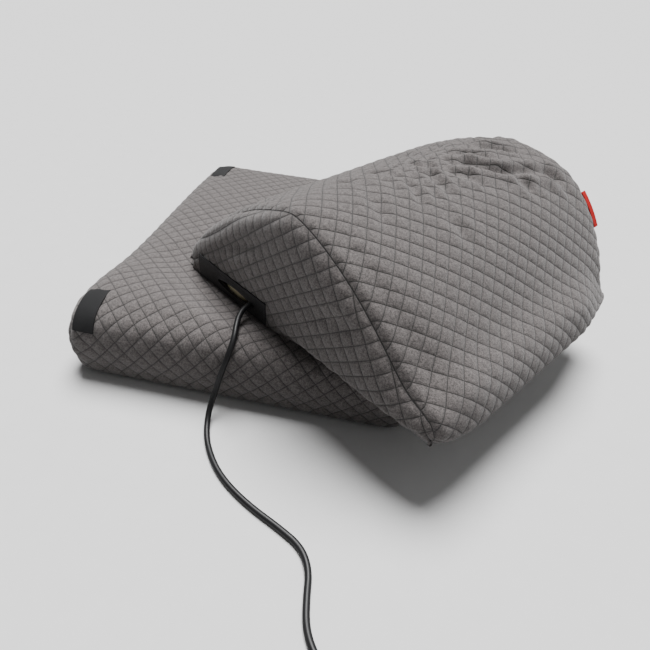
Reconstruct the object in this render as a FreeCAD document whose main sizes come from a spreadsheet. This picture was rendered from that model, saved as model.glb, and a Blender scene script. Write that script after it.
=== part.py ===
"""Infrared heat cushion set: a contoured quilted base pad and an arched quilted heating cushion that lies
across it, with its cord, in-line controller and mains plug. Millimetres, +Z up. The origin is the middle of
the base pad's underside. +X runs across the pad and +Y towards its rear edge."""
import FreeCAD
import Part
import math
import os
import re

from FreeCAD import Placement, Rotation, Vector
from Sketcher import Constraint

SIZES = [
    # base pad
    ("pad_width", 400), ("pad_depth", 500), ("pad_crest", 79), ("pad_valley", 72),
    ("pad_corner", 30), ("pad_top_round", 22), ("pad_foot_round", 10),
    ("cover_skin", 3), ("wad_thick", 6), ("layer_gap", 0.1),
    ("patch_width", 27), ("patch_reach", 50), ("patch_thick", 1.5), ("patch_inset", 4), ("patch_drop", 13),
    # arched cushion
    ("arch_span", 430), ("arch_rise", 153), ("arch_length", 380), ("flank_radius", 325),
    ("arch_foot_round", 12), ("arch_apex_round", 30), ("arch_clearance", 0.3),
    ("arch_shift_x", 165), ("arch_shift_y", -55), ("arch_turn", 35.6),
    ("film_thick", 0.9), ("felt_thick", 1.9), ("foil_thick", 0.4), ("film_margin", 15),
    ("stack_foot", 22), ("film_foot", 44), ("bus_width", 12),
    ("tab_length", 45), ("tab_width", 9), ("tab_thick", 1.2), ("tab_span_place", 142),
    # cable slot, and the pocket and box behind it
    ("slot_length", 72), ("slot_height", 11), ("slot_level", 18), ("slot_middle", -85),
    ("facing_length", 136), ("facing_height", 30), ("facing_thick", 1.4), ("facing_middle", -104),
    ("pocket_width", 88), ("pocket_depth", 102), ("pocket_floor", 6), ("pocket_height", 30),
    ("pocket_shift", 8),
    ("box_width", 60), ("box_depth", 64), ("box_height", 20), ("box_wall", 2), ("box_middle", -68),
    ("box_setback", 32), ("lid_thick", 2.5), ("box_screw_inset", 5), ("screw_shank", 2.6),
        ("screw_head", 5), ("post_wall", 0.4),
    ("block_width", 28), ("block_depth", 14), ("block_height", 12), ("core_wire", 2), ("core_run", 6),
    ("lead_wire", 3), ("lead_channel", 12), ("lead_level", 33), ("sensor_pocket", 60), ("sensor_width", 24),
    ("sensor_drop", 24), ("cutout_width", 16), ("cutout_depth", 22), ("cutout_height", 7), ("fuse_wide", 4),
    ("fuse_long", 13),
    # zips
    ("zip_run", 290), ("tape_height", 24), ("tape_thick", 1.2), ("chain_height", 5), ("chain_proud", 1.4),
    ("slider_long", 9), ("slider_tall", 11), ("slider_deep", 4.6), ("zip_clear", 0.3), ("zip_stop", 4),
    ("zip_pin", 1.6),
    ("pull_long", 24), ("pull_tall", 6), ("pull_thick", 1.5), ("pin_clear", 0.05), ("pad_zip_level", 30),
    ("arch_zip_level", 20),
    # cord, controller and plug
    ("cord_wide", 6.6), ("cord_gap", 0.3), ("cord_shift", 0.5), ("sleeve_wide", 12), ("sleeve_tip", 9),
        ("sleeve_proud", 6.3),
    ("relief_long", 26), ("relief_wide", 11), ("relief_tip", 8.6),
    ("control_long", 110), ("control_wide", 40), ("control_tall", 22), ("control_wall", 2),
    ("control_corner", 12), ("control_edge", 3), ("split_level", 8), ("board_thick", 1.6),
    ("switch_long", 14), ("switch_wide", 9), ("switch_proud", 2.2), ("switch_travel", 8),
        ("switch_side", 0.3),
    ("switch_shift", -14), ("selector_tall", 2.4), ("flange_tall", 1.2), ("board_drop", 2),
    ("lens_wide", 5), ("lens_shift", 26), ("lens_proud", 0.8),
    ("coil_middle", 39), ("coil_turns_wide", 3), ("coil_turns_high", 2), ("tie_width", 14), ("tie_thick", 1),
    ("plug_long", 36), ("plug_wide", 32), ("plug_tall", 16), ("plug_nose", 22), ("prong_wide", 4),
    ("prong_long", 19), ("prong_pitch", 18.6),
]

doc = FreeCAD.newDocument("HeatCushion")
sheet = doc.addObject("Spreadsheet::Sheet", "Sizes")
for row, (alias, number) in enumerate(SIZES, start=1):
    sheet.set(f"A{row}", alias)
    sheet.set(f"B{row}", str(number))
    sheet.setAlias(f"B{row}", alias)
doc.recompute()


class Values:
    """The sheet's values by name, for places and for shapes that are made by function."""

    def __getattr__(self, name):
        return float(sheet.get(name))


size = Values()
WORDS = re.compile(r"[a-z]+(?:_[a-z]+)+")
NEARLY_HALF = 0.495  # a round end leaves this share of the height, so that its flat side keeps a length
nodes = {}


def bind(thing, **formulas):
    """Bind properties to formulas written with the sheet's names."""
    for name, formula in formulas.items():
        thing.setExpression(name, WORDS.sub(lambda word: "Sizes." + word.group(0), formula))


def bind_constraint(sketch, index, formula):
    """Bind one of a sketch's dimensions to a formula."""
    sketch.setExpression(f"Constraints[{index}]", WORDS.sub(lambda word: "Sizes." + word.group(0), formula))


def node(label, thing, frame=None):
    """Make a finished object the sub-part with this label, placed in a frame."""
    thing.Label = label
    if frame is not None:
        thing.Placement = frame.multiply(thing.Placement)
    nodes[label] = thing
    return thing


# ---------------------------------------------------------------- primitives and booleans


def box(name, length, width, height, at):
    """A box whose sides are formulas, with its lowest corner at a point."""
    made = doc.addObject("Part::Box", name)
    bind(made, Length=length, Width=width, Height=height)
    made.Placement.Base = Vector(*at)
    return made


def cylinder(name, radius, height, at, axis=(0, 0, 1)):
    """A cylinder whose radius and height are formulas, from a point along an axis."""
    made = doc.addObject("Part::Cylinder", name)
    bind(made, Radius=radius, Height=height)
    made.Placement = Placement(Vector(*at), Rotation(Vector(0, 0, 1), Vector(*axis)))
    return made


def cone(name, radius, tip_radius, height, at, axis):
    """A tapered round piece from a point along an axis."""
    made = doc.addObject("Part::Cone", name)
    bind(made, Radius1=radius, Radius2=tip_radius, Height=height)
    made.Placement = Placement(Vector(*at), Rotation(Vector(0, 0, 1), Vector(*axis)))
    return made


def cut(name, base, *tools):
    """Base less each tool in turn."""
    for count, tool in enumerate(tools):
        made = doc.addObject("Part::Cut", f"{name}_less_{count}")
        made.Base = base
        made.Tool = tool
        base = made
    return base


def common(name, first, second):
    made = doc.addObject("Part::Common", name)
    made.Base = first
    made.Tool = second
    return made


def group(name, things, kind="Part::Compound"):
    """Several separate solids as one object, or joined where kind is Part::MultiFuse."""
    made = doc.addObject(kind, name)
    if kind == "Part::Compound":
        made.Links = things
    else:
        made.Shapes = things
    return made


def sunk(name, thing, depth):
    """The same form lowered by a depth."""
    made = group(name, [thing])
    made.Placement.Base.z = -depth
    return made


# ---------------------------------------------------------------- sketched bodies


def origin_plane(body, role):
    return next(item for item in body.Origin.OriginFeatures if item.Role == role)


def sketch_on(body, name, role):
    sketch = body.newObject("Sketcher::SketchObject", name)
    sketch.AttachmentSupport = [(origin_plane(body, role), "")]
    sketch.MapMode = "FlatFace"
    return sketch


def rounded_rectangle(sketch, length, width, corner, numbers):
    """A centred rectangle with round corners. The three formulas drive it, and numbers are their values."""
    long, wide, radius = numbers
    x, y = long / 2 - radius, wide / 2 - radius
    quarter = math.pi / 2
    centres = [(x, y), (-x, y), (-x, -y), (x, -y)]
    arcs = []
    for turn, (across, along) in enumerate(centres):
        circle = Part.Circle(Vector(across, along, 0), Vector(0, 0, 1), radius)
        arcs.append(sketch.addGeometry(Part.ArcOfCircle(circle, turn * quarter, (turn + 1) * quarter)))
    sides = []
    for turn in range(4):
        start = sketch.getPoint(arcs[turn], 2)
        end = sketch.getPoint(arcs[(turn + 1) % 4], 1)
        sides.append(sketch.addGeometry(Part.LineSegment(start, end)))
    for turn in range(4):
        sketch.addConstraint(Constraint("Tangent", arcs[turn], 2, sides[turn], 1))
        sketch.addConstraint(Constraint("Tangent", sides[turn], 2, arcs[(turn + 1) % 4], 1))
    for turn in range(1, 4):
        sketch.addConstraint(Constraint("Equal", arcs[0], arcs[turn]))
    sketch.addConstraint(Constraint("Horizontal", sides[0]))
    sketch.addConstraint(Constraint("Vertical", sides[1]))
    sketch.addConstraint(Constraint("Symmetric", arcs[0], 3, arcs[2], 3, -1, 1))
    round_of = sketch.addConstraint(Constraint("Radius", arcs[0], radius))
    long_of = sketch.addConstraint(Constraint("DistanceX", arcs[2], 3, arcs[0], 3, 2 * x))
    wide_of = sketch.addConstraint(Constraint("DistanceY", arcs[2], 3, arcs[0], 3, 2 * y))
    bind_constraint(sketch, round_of, corner)
    bind_constraint(sketch, long_of, f"({length}) - 2 * ({corner})")
    bind_constraint(sketch, wide_of, f"({width}) - 2 * ({corner})")


def pad_of(body, name, sketch, length, midplane=False, reverse=False):
    made = body.newObject("PartDesign::Pad", name)
    made.Profile = sketch
    bind(made, Length=length)
    made.Midplane = midplane
    made.Reversed = reverse
    return made


def fillet_edges(body, name, base, chosen, radius):
    """Round the edges of a feature that a test picks."""
    doc.recompute()
    picked = [f"Edge{count}" for count, edge in enumerate(base.Shape.Edges, start=1) if chosen(edge)]
    if not picked:
        raise RuntimeError(f"{name} found no edge to round")
    made = body.newObject("PartDesign::Fillet", name)
    made.Base = (base, picked)
    bind(made, Radius=radius)
    return made


def block(name, length, width, height, corner, numbers, edge=None, both=True):
    """A block with round upright corners, standing on z = 0, and with its rims rounded where edge is given."""
    body = doc.addObject("PartDesign::Body", name)
    sketch = sketch_on(body, f"{name}_outline", "XY_Plane")
    rounded_rectangle(sketch, length, width, corner, numbers)
    solid = pad_of(body, f"{name}_pad", sketch, height)
    if edge:
        doc.recompute()
        top = solid.Shape.BoundBox.ZMax

        def rim(candidate):
            limits = candidate.BoundBox
            flat = limits.ZLength < 0.01
            return flat and (both or limits.ZMax > top / 2)

        fillet_edges(body, f"{name}_rims", solid, rim, edge)
    doc.recompute()
    return body


# ---------------------------------------------------------------- base pad


def pad_block(name, inset, inset_value):
    """The base pad's form, inset by some layers on every side: a block with a shallow valley across its top."""
    body = doc.addObject("PartDesign::Body", name)
    outline = sketch_on(body, f"{name}_outline", "XY_Plane")
    numbers = [size.pad_width - 2 * inset_value, size.pad_depth - 2 * inset_value,
        size.pad_corner - inset_value]
    rounded_rectangle(
        outline, f"pad_width - 2 * ({inset})", f"pad_depth - 2 * ({inset})", f"pad_corner - ({inset})",
            numbers
    )
    solid = pad_of(body, f"{name}_pad", outline, f"pad_crest - 2 * ({inset})")
    valley = sketch_on(body, f"{name}_valley", "YZ_Plane")
    hollow = "(pad_crest - pad_valley)"
    radius = f"((pad_depth ^ 2 / 4 + {hollow} ^ 2) / (2 * {hollow}))"
    depth = size.pad_crest - size.pad_valley
    radius_value = (size.pad_depth**2 / 4 + depth**2) / (2 * depth)
    level = size.pad_valley + radius_value - inset_value
    circle = valley.addGeometry(Part.Circle(Vector(0, level, 0), Vector(0, 0, 1), radius_value + inset_value))
    valley.addConstraint(Constraint("PointOnObject", circle, 3, -2))
    up = valley.addConstraint(Constraint("DistanceY", -1, 1, circle, 3, level))
    wide = valley.addConstraint(Constraint("Radius", circle, radius_value + inset_value))
    bind_constraint(valley, up, f"pad_valley + {radius} - ({inset})")
    bind_constraint(valley, wide, f"{radius} + ({inset})")
    scoop = body.newObject("PartDesign::Pocket", f"{name}_scoop")
    scoop.Profile = valley
    scoop.Type = "ThroughAll"
    scoop.Midplane = True
    doc.recompute()
    if scoop.Shape.Volume > solid.Shape.Volume - 1:
        raise RuntimeError(f"{name}: the valley cuts nothing")
    middle = size.pad_crest / 2
    tall = 5

    def top_edge(edge):
        return edge.BoundBox.ZMin > middle and edge.BoundBox.ZLength < size.pad_crest / 3

    def foot_edge(edge):
        return edge.BoundBox.ZMax < tall

    crown = fillet_edges(body, f"{name}_crown", scoop, top_edge, f"pad_top_round - ({inset})")
    fillet_edges(body, f"{name}_foot", crown, foot_edge, f"pad_foot_round - ({inset})")
    body.Placement.Base.z = inset_value
    doc.recompute()
    return body


def build_pad():
    """Cover, base panel, wadding, foam core and corner patches of the base pad."""
    skin = size.cover_skin
    outside = pad_block("pad_outside", "0 * cover_skin", 0)
    inside = pad_block("pad_inside", "cover_skin", skin)
    shell = cut("pad_shell", outside, inside)
    reach_x, reach_y = size.pad_width, size.pad_depth
    seam = size.pad_foot_round
    above = box("pad_above", "2 * pad_width", "2 * pad_depth", "pad_crest", (-reach_x, -reach_y, seam))
    below = box("pad_below", "2 * pad_width", "2 * pad_depth", "pad_foot_round", (-reach_x, -reach_y, 0))
    node("pad_cover_quilted", common("pad_cover", shell, above))
    node("pad_cover_base", common("pad_base", shell, below))

    filling = pad_block("pad_filling", "cover_skin + layer_gap", skin + size.layer_gap)
    under_wadding = sunk("pad_wadding_floor", filling, size.wad_thick)
    under_gap = sunk("pad_core_top", filling, size.wad_thick + size.layer_gap)
    node("pad_wadding", cut("pad_wadding_cut", filling, under_wadding))
    node("pad_foam_core", common("pad_core", filling, under_gap))

    proud = pad_block("pad_patch_outside", "-1 * patch_thick", -size.patch_thick)
    skin_of_patch = cut("pad_patch_shell", proud, outside)
    windows = []
    for side in (-1, 1):
        for end in (-1, 1):
            x = side * (size.pad_width / 2 - size.patch_inset - size.patch_width / 2) - size.patch_width / 2
            near = size.pad_depth / 2 + size.patch_thick - size.patch_reach
            y = near if end > 0 else -near - size.patch_reach
            z = size.pad_crest - size.patch_drop
            windows.append(box(f"pad_patch_window_{side}_{end}", "patch_width", "patch_reach",
                "2 * patch_drop",
                               (x, y, z)))
    window = group("pad_patch_windows", windows, "Part::MultiFuse")
    node("pad_hook_patches", common("pad_patches", skin_of_patch, window))


# ---------------------------------------------------------------- arched cushion


def flank_centre():
    """How far left of the middle, and how far below the base, the right flank's arc has its centre."""
    half, rise = size.arch_span / 2, size.arch_rise
    chord = math.hypot(half, rise)
    reach = math.sqrt(size.flank_radius**2 - chord**2 / 4)
    return reach * rise / chord - half / 2, reach * half / chord - rise / 2


def flank_x(inset, level):
    """Half the section's width at a level above the cushion's base, inset by some layers."""
    left, below = flank_centre()
    return math.sqrt((size.flank_radius - inset) ** 2 - (level + below) ** 2) - left


def flank_z(inset, x):
    """The section's height above the base at a distance from its middle, inset by some layers."""
    left, below = flank_centre()
    return math.sqrt((size.flank_radius - inset) ** 2 - (abs(x) + left) ** 2) - below


def flank_arc(radius, side, low, high):
    """An arc of one flank between two levels, drawn anticlockwise."""
    left, below = flank_centre()
    centre = Vector(-side * left, -below, 0)

    def angle(x, z):
        return math.atan2(z + below, x + side * left)

    start, end = (low, high) if side > 0 else (high, low)
    circle = Part.Circle(centre, Vector(0, 0, 1), radius)
    return Part.ArcOfCircle(circle, angle(*start), angle(*end))


def arch_sketch(body, name, outer, outer_value, level, level_value, inner=None, inner_value=0):
    """The arch's section, inset by outer and cut off at a level. With inner it is the strip between two insets."""
    sketch = sketch_on(body, name, "XZ_Plane")
    insets = [(outer, outer_value)] + ([(inner, inner_value)] if inner else [])
    guides = []
    for side in (1, -1):
        foot, apex = (side * size.arch_span / 2, 0), (0, size.arch_rise)
        guide = sketch.addGeometry(flank_arc(size.flank_radius, side, foot, apex), True)
        foot_end, apex_end = (1, 2) if side > 0 else (2, 1)
        for point, (x, z), formulas in (
            (foot_end, foot, (f"{side} * arch_span / 2", None)),
            (apex_end, apex, (None, "arch_rise")),
        ):
            if formulas[0]:
                across = sketch.addConstraint(Constraint("DistanceX", -1, 1, guide, point, x))
                bind_constraint(sketch, across, formulas[0])
                sketch.addConstraint(Constraint("PointOnObject", guide, point, -1))
            else:
                up = sketch.addConstraint(Constraint("DistanceY", -1, 1, guide, point, z))
                bind_constraint(sketch, up, formulas[1])
                sketch.addConstraint(Constraint("PointOnObject", guide, point, -2))
        turn = sketch.addConstraint(Constraint("Radius", guide, size.flank_radius))
        bind_constraint(sketch, turn, "flank_radius")
        guides.append(guide)
    arcs = []
    for inset, value in insets:
        pair = []
        for side, guide in zip((1, -1), guides):
            foot = (side * flank_x(value, level_value), level_value)
            apex = (0, flank_z(value, 0))
            arc = sketch.addGeometry(flank_arc(size.flank_radius - value, side, foot, apex))
            sketch.addConstraint(Constraint("Coincident", arc, 3, guide, 3))
            turn = sketch.addConstraint(Constraint("Radius", arc, size.flank_radius - value))
            bind_constraint(sketch, turn, f"flank_radius - ({inset})")
            foot_end = 1 if side > 0 else 2
            up = sketch.addConstraint(Constraint("DistanceY", -1, 1, arc, foot_end, level_value))
            bind_constraint(sketch, up, level)
            pair.append(arc)
        sketch.addConstraint(Constraint("Coincident", pair[0], 2, pair[1], 1))
        arcs.append(pair)
    if inner:
        for side, (far, near) in zip((1, -1), zip(*arcs)):
            end = 1 if side > 0 else 2
            line = sketch.addGeometry(Part.LineSegment(sketch.getPoint(far, end), sketch.getPoint(near, end)))
            sketch.addConstraint(Constraint("Coincident", line, 1, far, end))
            sketch.addConstraint(Constraint("Coincident", line, 2, near, end))
    else:
        right, left = arcs[0]
        line = sketch.addGeometry(Part.LineSegment(sketch.getPoint(left, 2), sketch.getPoint(right, 1)))
        sketch.addConstraint(Constraint("Coincident", line, 1, left, 2))
        sketch.addConstraint(Constraint("Coincident", line, 2, right, 1))
    return sketch


def arch_block(name, inset, inset_value):
    """The arched cushion's form, inset by some layers on every side, with its ridge and feet rounded."""
    body = doc.addObject("PartDesign::Body", name)
    sketch = arch_sketch(body, f"{name}_section", inset, inset_value, inset, inset_value)
    solid = pad_of(body, f"{name}_pad", sketch, f"arch_length - 2 * ({inset})", midplane=True)
    doc.recompute()
    half = size.arch_length / 2

    def along(edge):
        return edge.BoundBox.YLength > half

    def ridge(edge):
        return along(edge) and edge.BoundBox.ZMin > size.arch_rise / 2

    def foot(edge):
        return along(edge) and edge.BoundBox.ZMax < size.arch_rise / 4

    top = fillet_edges(body, f"{name}_ridge", solid, ridge, f"arch_apex_round - ({inset})")
    fillet_edges(body, f"{name}_feet", top, foot, f"arch_foot_round - ({inset})")
    doc.recompute()
    return body


def arch_strip(name, outer, outer_value, inner, inner_value, foot, foot_value, length):
    """A curved layer that follows both flanks, between two insets and down to a foot level."""
    body = doc.addObject("PartDesign::Body", name)
    sketch = arch_sketch(body, f"{name}_section", outer, outer_value, foot, foot_value, inner, inner_value)
    pad_of(body, f"{name}_pad", sketch, length, midplane=True)
    doc.recompute()
    return body


def slot_prism(name, length, height, depth, middle, level, front):
    """A bar with round ends lying across the end panel, for the cable slot and its facing."""
    body = doc.addObject("PartDesign::Body", name)
    long, tall = size.slot_length, size.slot_height
    sketch = sketch_on(body, f"{name}_outline", "XZ_Plane")
    corner = f"{NEARLY_HALF} * ({height})"
    rounded_rectangle(sketch, length, height, corner, [long, tall, tall * NEARLY_HALF])
    pad_of(body, f"{name}_pad", sketch, depth, midplane=True)
    body.Placement.Base = Vector(middle, front, level)
    doc.recompute()
    return body


def arch_frame():
    """Where the arched cushion lies: across the base pad, turned clockwise, on its crests."""
    turn = Rotation(Vector(0, 0, 1), -size.arch_turn)
    return Placement(Vector(size.arch_shift_x, size.arch_shift_y, size.pad_crest + size.arch_clearance), turn)


def build_arch_covers(frame):
    skin = size.cover_skin
    half = size.arch_length / 2
    outside = arch_block("arch_outside", "0 * cover_skin", 0)
    inside = arch_block("arch_inside", "cover_skin", skin)
    shell = cut("arch_shell", outside, inside)
    wide = size.arch_span
    between = "arch_length - 2 * cover_skin"
    ends = {"front": -half, "rear": half - skin}
    foot = size.arch_foot_round / 2
    upper = box("arch_upper", "2 * arch_span", between, "2 * arch_rise", (-wide, -half + skin, foot))
    lower = box("arch_lower", "2 * arch_span", between, "arch_foot_round / 2", (-wide, -half + skin, 0))
    node("arch_cover_quilted", common("arch_cover", shell, upper), frame)
    node("arch_cover_base", common("arch_base", shell, lower), frame)
    panels = {}
    for end, start in ends.items():
        window = box(f"arch_{end}_window", "2 * arch_span", "cover_skin", "2 * arch_rise", (-wide, start, 0))
        panels[end] = common(f"arch_{end}_panel", shell, window)
    slot = slot_prism("slot_cutter", "slot_length", "slot_height", "8 * cover_skin",
                      size.slot_middle, size.slot_level, -half)
    node("arch_end_front", cut("arch_front_panel_cut", panels["front"], slot), frame)
    node("arch_end_rear", panels["rear"], frame)

    facing = box("facing_form", "facing_length", "facing_thick", "facing_height",
                 (size.facing_middle - size.facing_length / 2, -half - size.facing_thick,
                  size.slot_level - size.facing_height / 2))
    node("cable_slot_facing", cut("facing_cut", facing, slot), frame)

    height = flank_z(0, size.tab_span_place)
    left, below = flank_centre()
    slope = math.degrees(math.atan2(size.tab_span_place + left, height + below))
    tab = box("tab_form", "tab_length", "tab_width", "tab_thick", (0, 0, 0))
    tilt = Rotation(Vector(0, 1, 0), slope)
    middle = Placement(Vector(size.tab_span_place, half, height - size.cover_skin / 2), tilt)
    tab.Placement = middle.multiply(Placement(Vector(-size.tab_length / 2, 0, -size.tab_thick), Rotation()))
    node("side_tab", tab, frame)


def build_arch_filling(frame):
    gap, skin = size.layer_gap, size.cover_skin
    full = "arch_length - 2 * cover_skin - 2 * layer_gap"
    short = f"{full} - 2 * film_margin"
    # each layer is the one above it, its thickness, and a gap
    names = ["wad_thick", "film_thick", "felt_thick", "foil_thick"]
    tops, top_values = ["cover_skin + layer_gap"], [skin + gap]
    for name in names:
        tops.append(f"{tops[-1]} + {name} + layer_gap")
        top_values.append(top_values[-1] + getattr(size, name) + gap)

    def layer(label, index, foot, foot_value, length):
        under = f"{tops[index]} + {names[index]}"
        value = top_values[index] + getattr(size, names[index])
        return arch_strip(label, tops[index], top_values[index], under, value, foot, foot_value, length)

    form = arch_block("core_form", "cover_skin + layer_gap", skin + gap)
    wadding = layer("wadding_strip", 0, "stack_foot", size.stack_foot, full)
    node("arch_wadding", common("arch_wadding_trimmed", wadding, form), frame)
    node("heating_film", layer("film_strip", 1, "film_foot", size.film_foot, short), frame)
    node("felt_insulation", layer("felt_strip", 2, "film_foot", size.film_foot, short), frame)
    node("reflector_foil", layer("foil_strip", 3, "film_foot", size.film_foot, short), frame)
    rail = layer("bus_strip", 1, "film_foot - bus_width", size.film_foot - size.bus_width, short)
    wide = size.arch_span
    slab = box("bus_window", "2 * arch_span", "2 * arch_length", "bus_width",
               (-wide, -size.arch_length, size.film_foot - size.bus_width))
    node("bus_bars", common("bus_bar_pair", rail, slab), frame)

    space = arch_strip("stack_space", "0 * cover_skin", 0, tops[4], top_values[4],
                       "stack_foot - layer_gap", size.stack_foot - gap, "arch_length")
    half = size.arch_length / 2
    start = -half - skin
    pocket = box("junction_pocket", "pocket_width", "pocket_depth + 2 * cover_skin", "pocket_height",
                 (size.box_middle - size.pocket_width / 2 - size.pocket_shift, start, size.pocket_floor))
    channel_y = -half + skin + size.pocket_depth - size.lead_channel - size.cover_skin
    channel = box("lead_channel_cut", "2 * arch_span", "lead_channel", "lead_channel",
                  (-wide, channel_y, size.lead_level - size.lead_channel / 2))
    riser = box("sensor_riser", "lead_channel", "lead_channel", "arch_rise",
                (-size.lead_channel / 2, channel_y, size.lead_level))
    recess = box("sensor_recess", "sensor_width", "sensor_pocket", "arch_rise",
                 (-size.sensor_width / 2, channel_y - size.sensor_pocket / 2,
                     size.arch_rise - size.sensor_drop))
    node("arch_foam_core", cut("core_cut", form, space, pocket, channel, riser, recess), frame)
    return channel_y, top_values[4]


def build_electrics(frame, channel_y, stack):
    """Junction box in its pocket, the leads to the film, and the temperature safety parts under the ridge."""
    half = size.arch_length / 2
    gap = size.layer_gap
    wall = size.box_wall
    front = -half + size.box_setback
    left = size.box_middle - size.box_width / 2
    floor = size.pocket_floor + 2 * gap
    cord_x = size.slot_middle + (size.slot_length - size.slot_height) / 2 + size.cord_shift
    level = size.slot_level

    tub = box("tub_form", "box_width", "box_depth", "box_height", (left, front, floor))
    hollow = box("tub_hollow", "box_width - 2 * box_wall", "box_depth - 2 * box_wall", "box_height",
                 (left + wall, front + wall, floor + wall))
    gland = cylinder("gland_hole", "sleeve_wide / 2", "4 * box_wall", (cord_x, front - 2 * wall, level),
        (0, 1, 0))
    exits = [
        cylinder(f"lead_hole_{side}", "lead_wire / 2", "4 * box_wall",
                 (left if side < 0 else left + size.box_width - 2 * wall, channel_y + size.lead_channel / 4,
                  floor + size.box_height - size.lead_wire), (1, 0, 0))
        for side in (-1, 1)
    ]
    posts = []
    places = []
    for side in (-1, 1):
        for end in (-1, 1):
            x = size.box_middle + side * (size.box_width / 2 - size.box_screw_inset)
            y = front + size.box_depth / 2 + end * (size.box_depth / 2 - size.box_screw_inset)
            places.append((x, y))
            posts.append(cylinder(f"post_{side}_{end}", "screw_head / 2 + post_wall", "box_height - box_wall",
                                  (x, y, floor + wall)))
    tub_open = cut("tub_open", tub, hollow)
    tub_full = group("tub_with_posts", [tub_open] + posts, "Part::MultiFuse")
    drills = [
        cylinder(f"post_drill_{count}", "screw_shank / 2", "box_height", (x, y, floor + 2 * wall))
        for count, (x, y) in enumerate(places)
    ]
    node("junction_box_base", cut("tub_done", tub_full, gland, *drills), frame)

    roof = floor + size.box_height
    lid = box("lid_form", "box_width", "box_depth", "lid_thick", (left, front, roof))
    lid_holes = [
        cylinder(f"lid_hole_{count}", "screw_shank / 2", "3 * lid_thick", (x, y, roof - size.lid_thick))
        for count, (x, y) in enumerate(places)
    ]
    node("junction_box_lid", cut("lid_done", lid, *lid_holes), frame)
    screws = []
    for count, (x, y) in enumerate(places):
        shank = cylinder(f"screw_shank_{count}", "screw_shank / 2", "lid_thick + box_height / 2",
                         (x, y, roof - size.box_height / 2))
        head = cylinder(f"screw_head_{count}", "screw_head / 2", "lid_thick / 2",
            (x, y, roof + size.lid_thick))
        screws.append(group(f"box_screw_{count}", [shank, head], "Part::MultiFuse"))
    node("junction_box_screws", group("box_screw_set", screws), frame)

    # cord end: the lead's own stub in its tapered sleeve, two cores, and the terminal block
    tip = -half - size.sleeve_proud
    inner = front + wall + 2 * wall
    stub = cylinder("stub_form", "cord_wide / 2", "sleeve_proud + box_setback + 5 * box_wall",
        (cord_x, tip, level),
                    (0, 1, 0))
    node("cord_entry", stub, frame)
    taper = cone("sleeve_taper", "sleeve_tip / 2", "sleeve_wide / 2", "sleeve_proud + box_setback",
        (cord_x, tip, level),
                 (0, 1, 0))
    neck = cylinder("sleeve_neck", "sleeve_wide / 2", "box_wall", (cord_x, front, level), (0, 1, 0))
    flange = cylinder("sleeve_flange", "sleeve_wide / 2 + 1", "box_wall", (cord_x, front + wall, level),
        (0, 1, 0))
    sleeve = group("sleeve_form", [taper, neck, flange], "Part::MultiFuse")
    bore = cylinder("sleeve_bore", "cord_wide / 2", "sleeve_proud + box_setback + 6 * box_wall",
                    (cord_x, tip - wall, level), (0, 1, 0))
    node("cord_sleeve", cut("sleeve_done", sleeve, bore), frame)

    stub_end = tip + size.sleeve_proud + size.box_setback + 5 * wall
    block_front = stub_end + size.core_run
    base_z = floor + wall
    form = box("block_form", "block_width", "block_depth", "block_height",
               (cord_x - size.block_width * 0.6, block_front, base_z))
    node("terminal_block", form, frame)
    cores = [
        cylinder(f"core_{side}", "core_wire / 2", "core_run", (cord_x + side * size.core_wire, stub_end,
                 base_z + (size.block_height + size.core_wire) / 2), (0, 1, 0))
        for side in (-1, 1)
    ]
    node("cord_cores", group("core_pair", cores), frame)

    # two leads to the bus bars and one up to the safety parts
    low = size.lead_level + size.lead_wire / 2
    rail = flank_x(size.cover_skin + size.wad_thick + size.film_thick + 3 * gap, low) - size.arch_clearance
    y = channel_y + size.lead_channel / 4
    z = size.lead_level
    wire_left = pipe("lead_left", [(left + 0.5, y, z), (-rail, y, z)], size.lead_wire / 2)
    wire_right = pipe("lead_right", [(left + size.box_width - 0.5, y, z), (rail, y, z)], size.lead_wire / 2)
    node("film_leads", group("film_lead_pair", [wire_left, wire_right]), frame)
    y_up = channel_y + 3 * size.lead_channel / 4
    top = size.arch_rise - size.sensor_drop + size.lead_wire
    up = pipe("lead_up", [(left + size.box_width - 2, y_up, z), (0, y_up, z), (0, y_up, top)],
        size.lead_wire / 2,
              2 * size.lead_wire)
    node("sensor_lead", group("sensor_lead_path", [up]), frame)

    roof_of_recess = flank_z(stack, size.cutout_width / 2) - 2 * gap
    cutout = box("cutout_form", "cutout_width", "cutout_depth", "cutout_height",
                 (-size.cutout_width / 2, channel_y - size.cutout_depth - 2,
                     roof_of_recess - size.cutout_height))
    node("overheat_cutout", cutout, frame)
    fuse = cylinder("fuse_form", "fuse_wide / 2", "fuse_long",
                    (0, channel_y + size.lead_channel + 2, roof_of_recess - size.fuse_wide), (0, 1, 0))
    node("thermal_fuse", fuse, frame)
    return cord_x, tip, level


# ---------------------------------------------------------------- tubes along a route


def rounded_path(points, radius=None, report=None):
    """A wire of straight runs joined by tangent arcs. Without a radius, each arc is as large as its runs allow."""
    share = 0.45
    points = [Vector(*point) for point in points]
    edges, here, radii = [], points[0], []
    for before, at, after in zip(points, points[1:], points[2:]):
        toward, away = (at - before), (after - at)
        shorter = min(toward.Length, away.Length)
        toward.normalize()
        away.normalize()
        half = toward.getAngle(away) / 2
        setback = radius * math.tan(half) if radius else share * shorter
        radii.append(setback / math.tan(half))
        start, end = at - toward * setback, at + away * setback
        bisector = away - toward
        bisector.normalize()
        middle = at + bisector * (radii[-1] / math.cos(half) - radii[-1])
        edges.append(Part.LineSegment(here, start).toShape())
        edges.append(Part.Arc(start, middle, end).toShape())
        here = end
    edges.append(Part.LineSegment(here, points[-1]).toShape())
    if report:
        print(report, "radii", [round(value, 1) for value in radii])
    return Part.Wire(edges)


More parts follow.
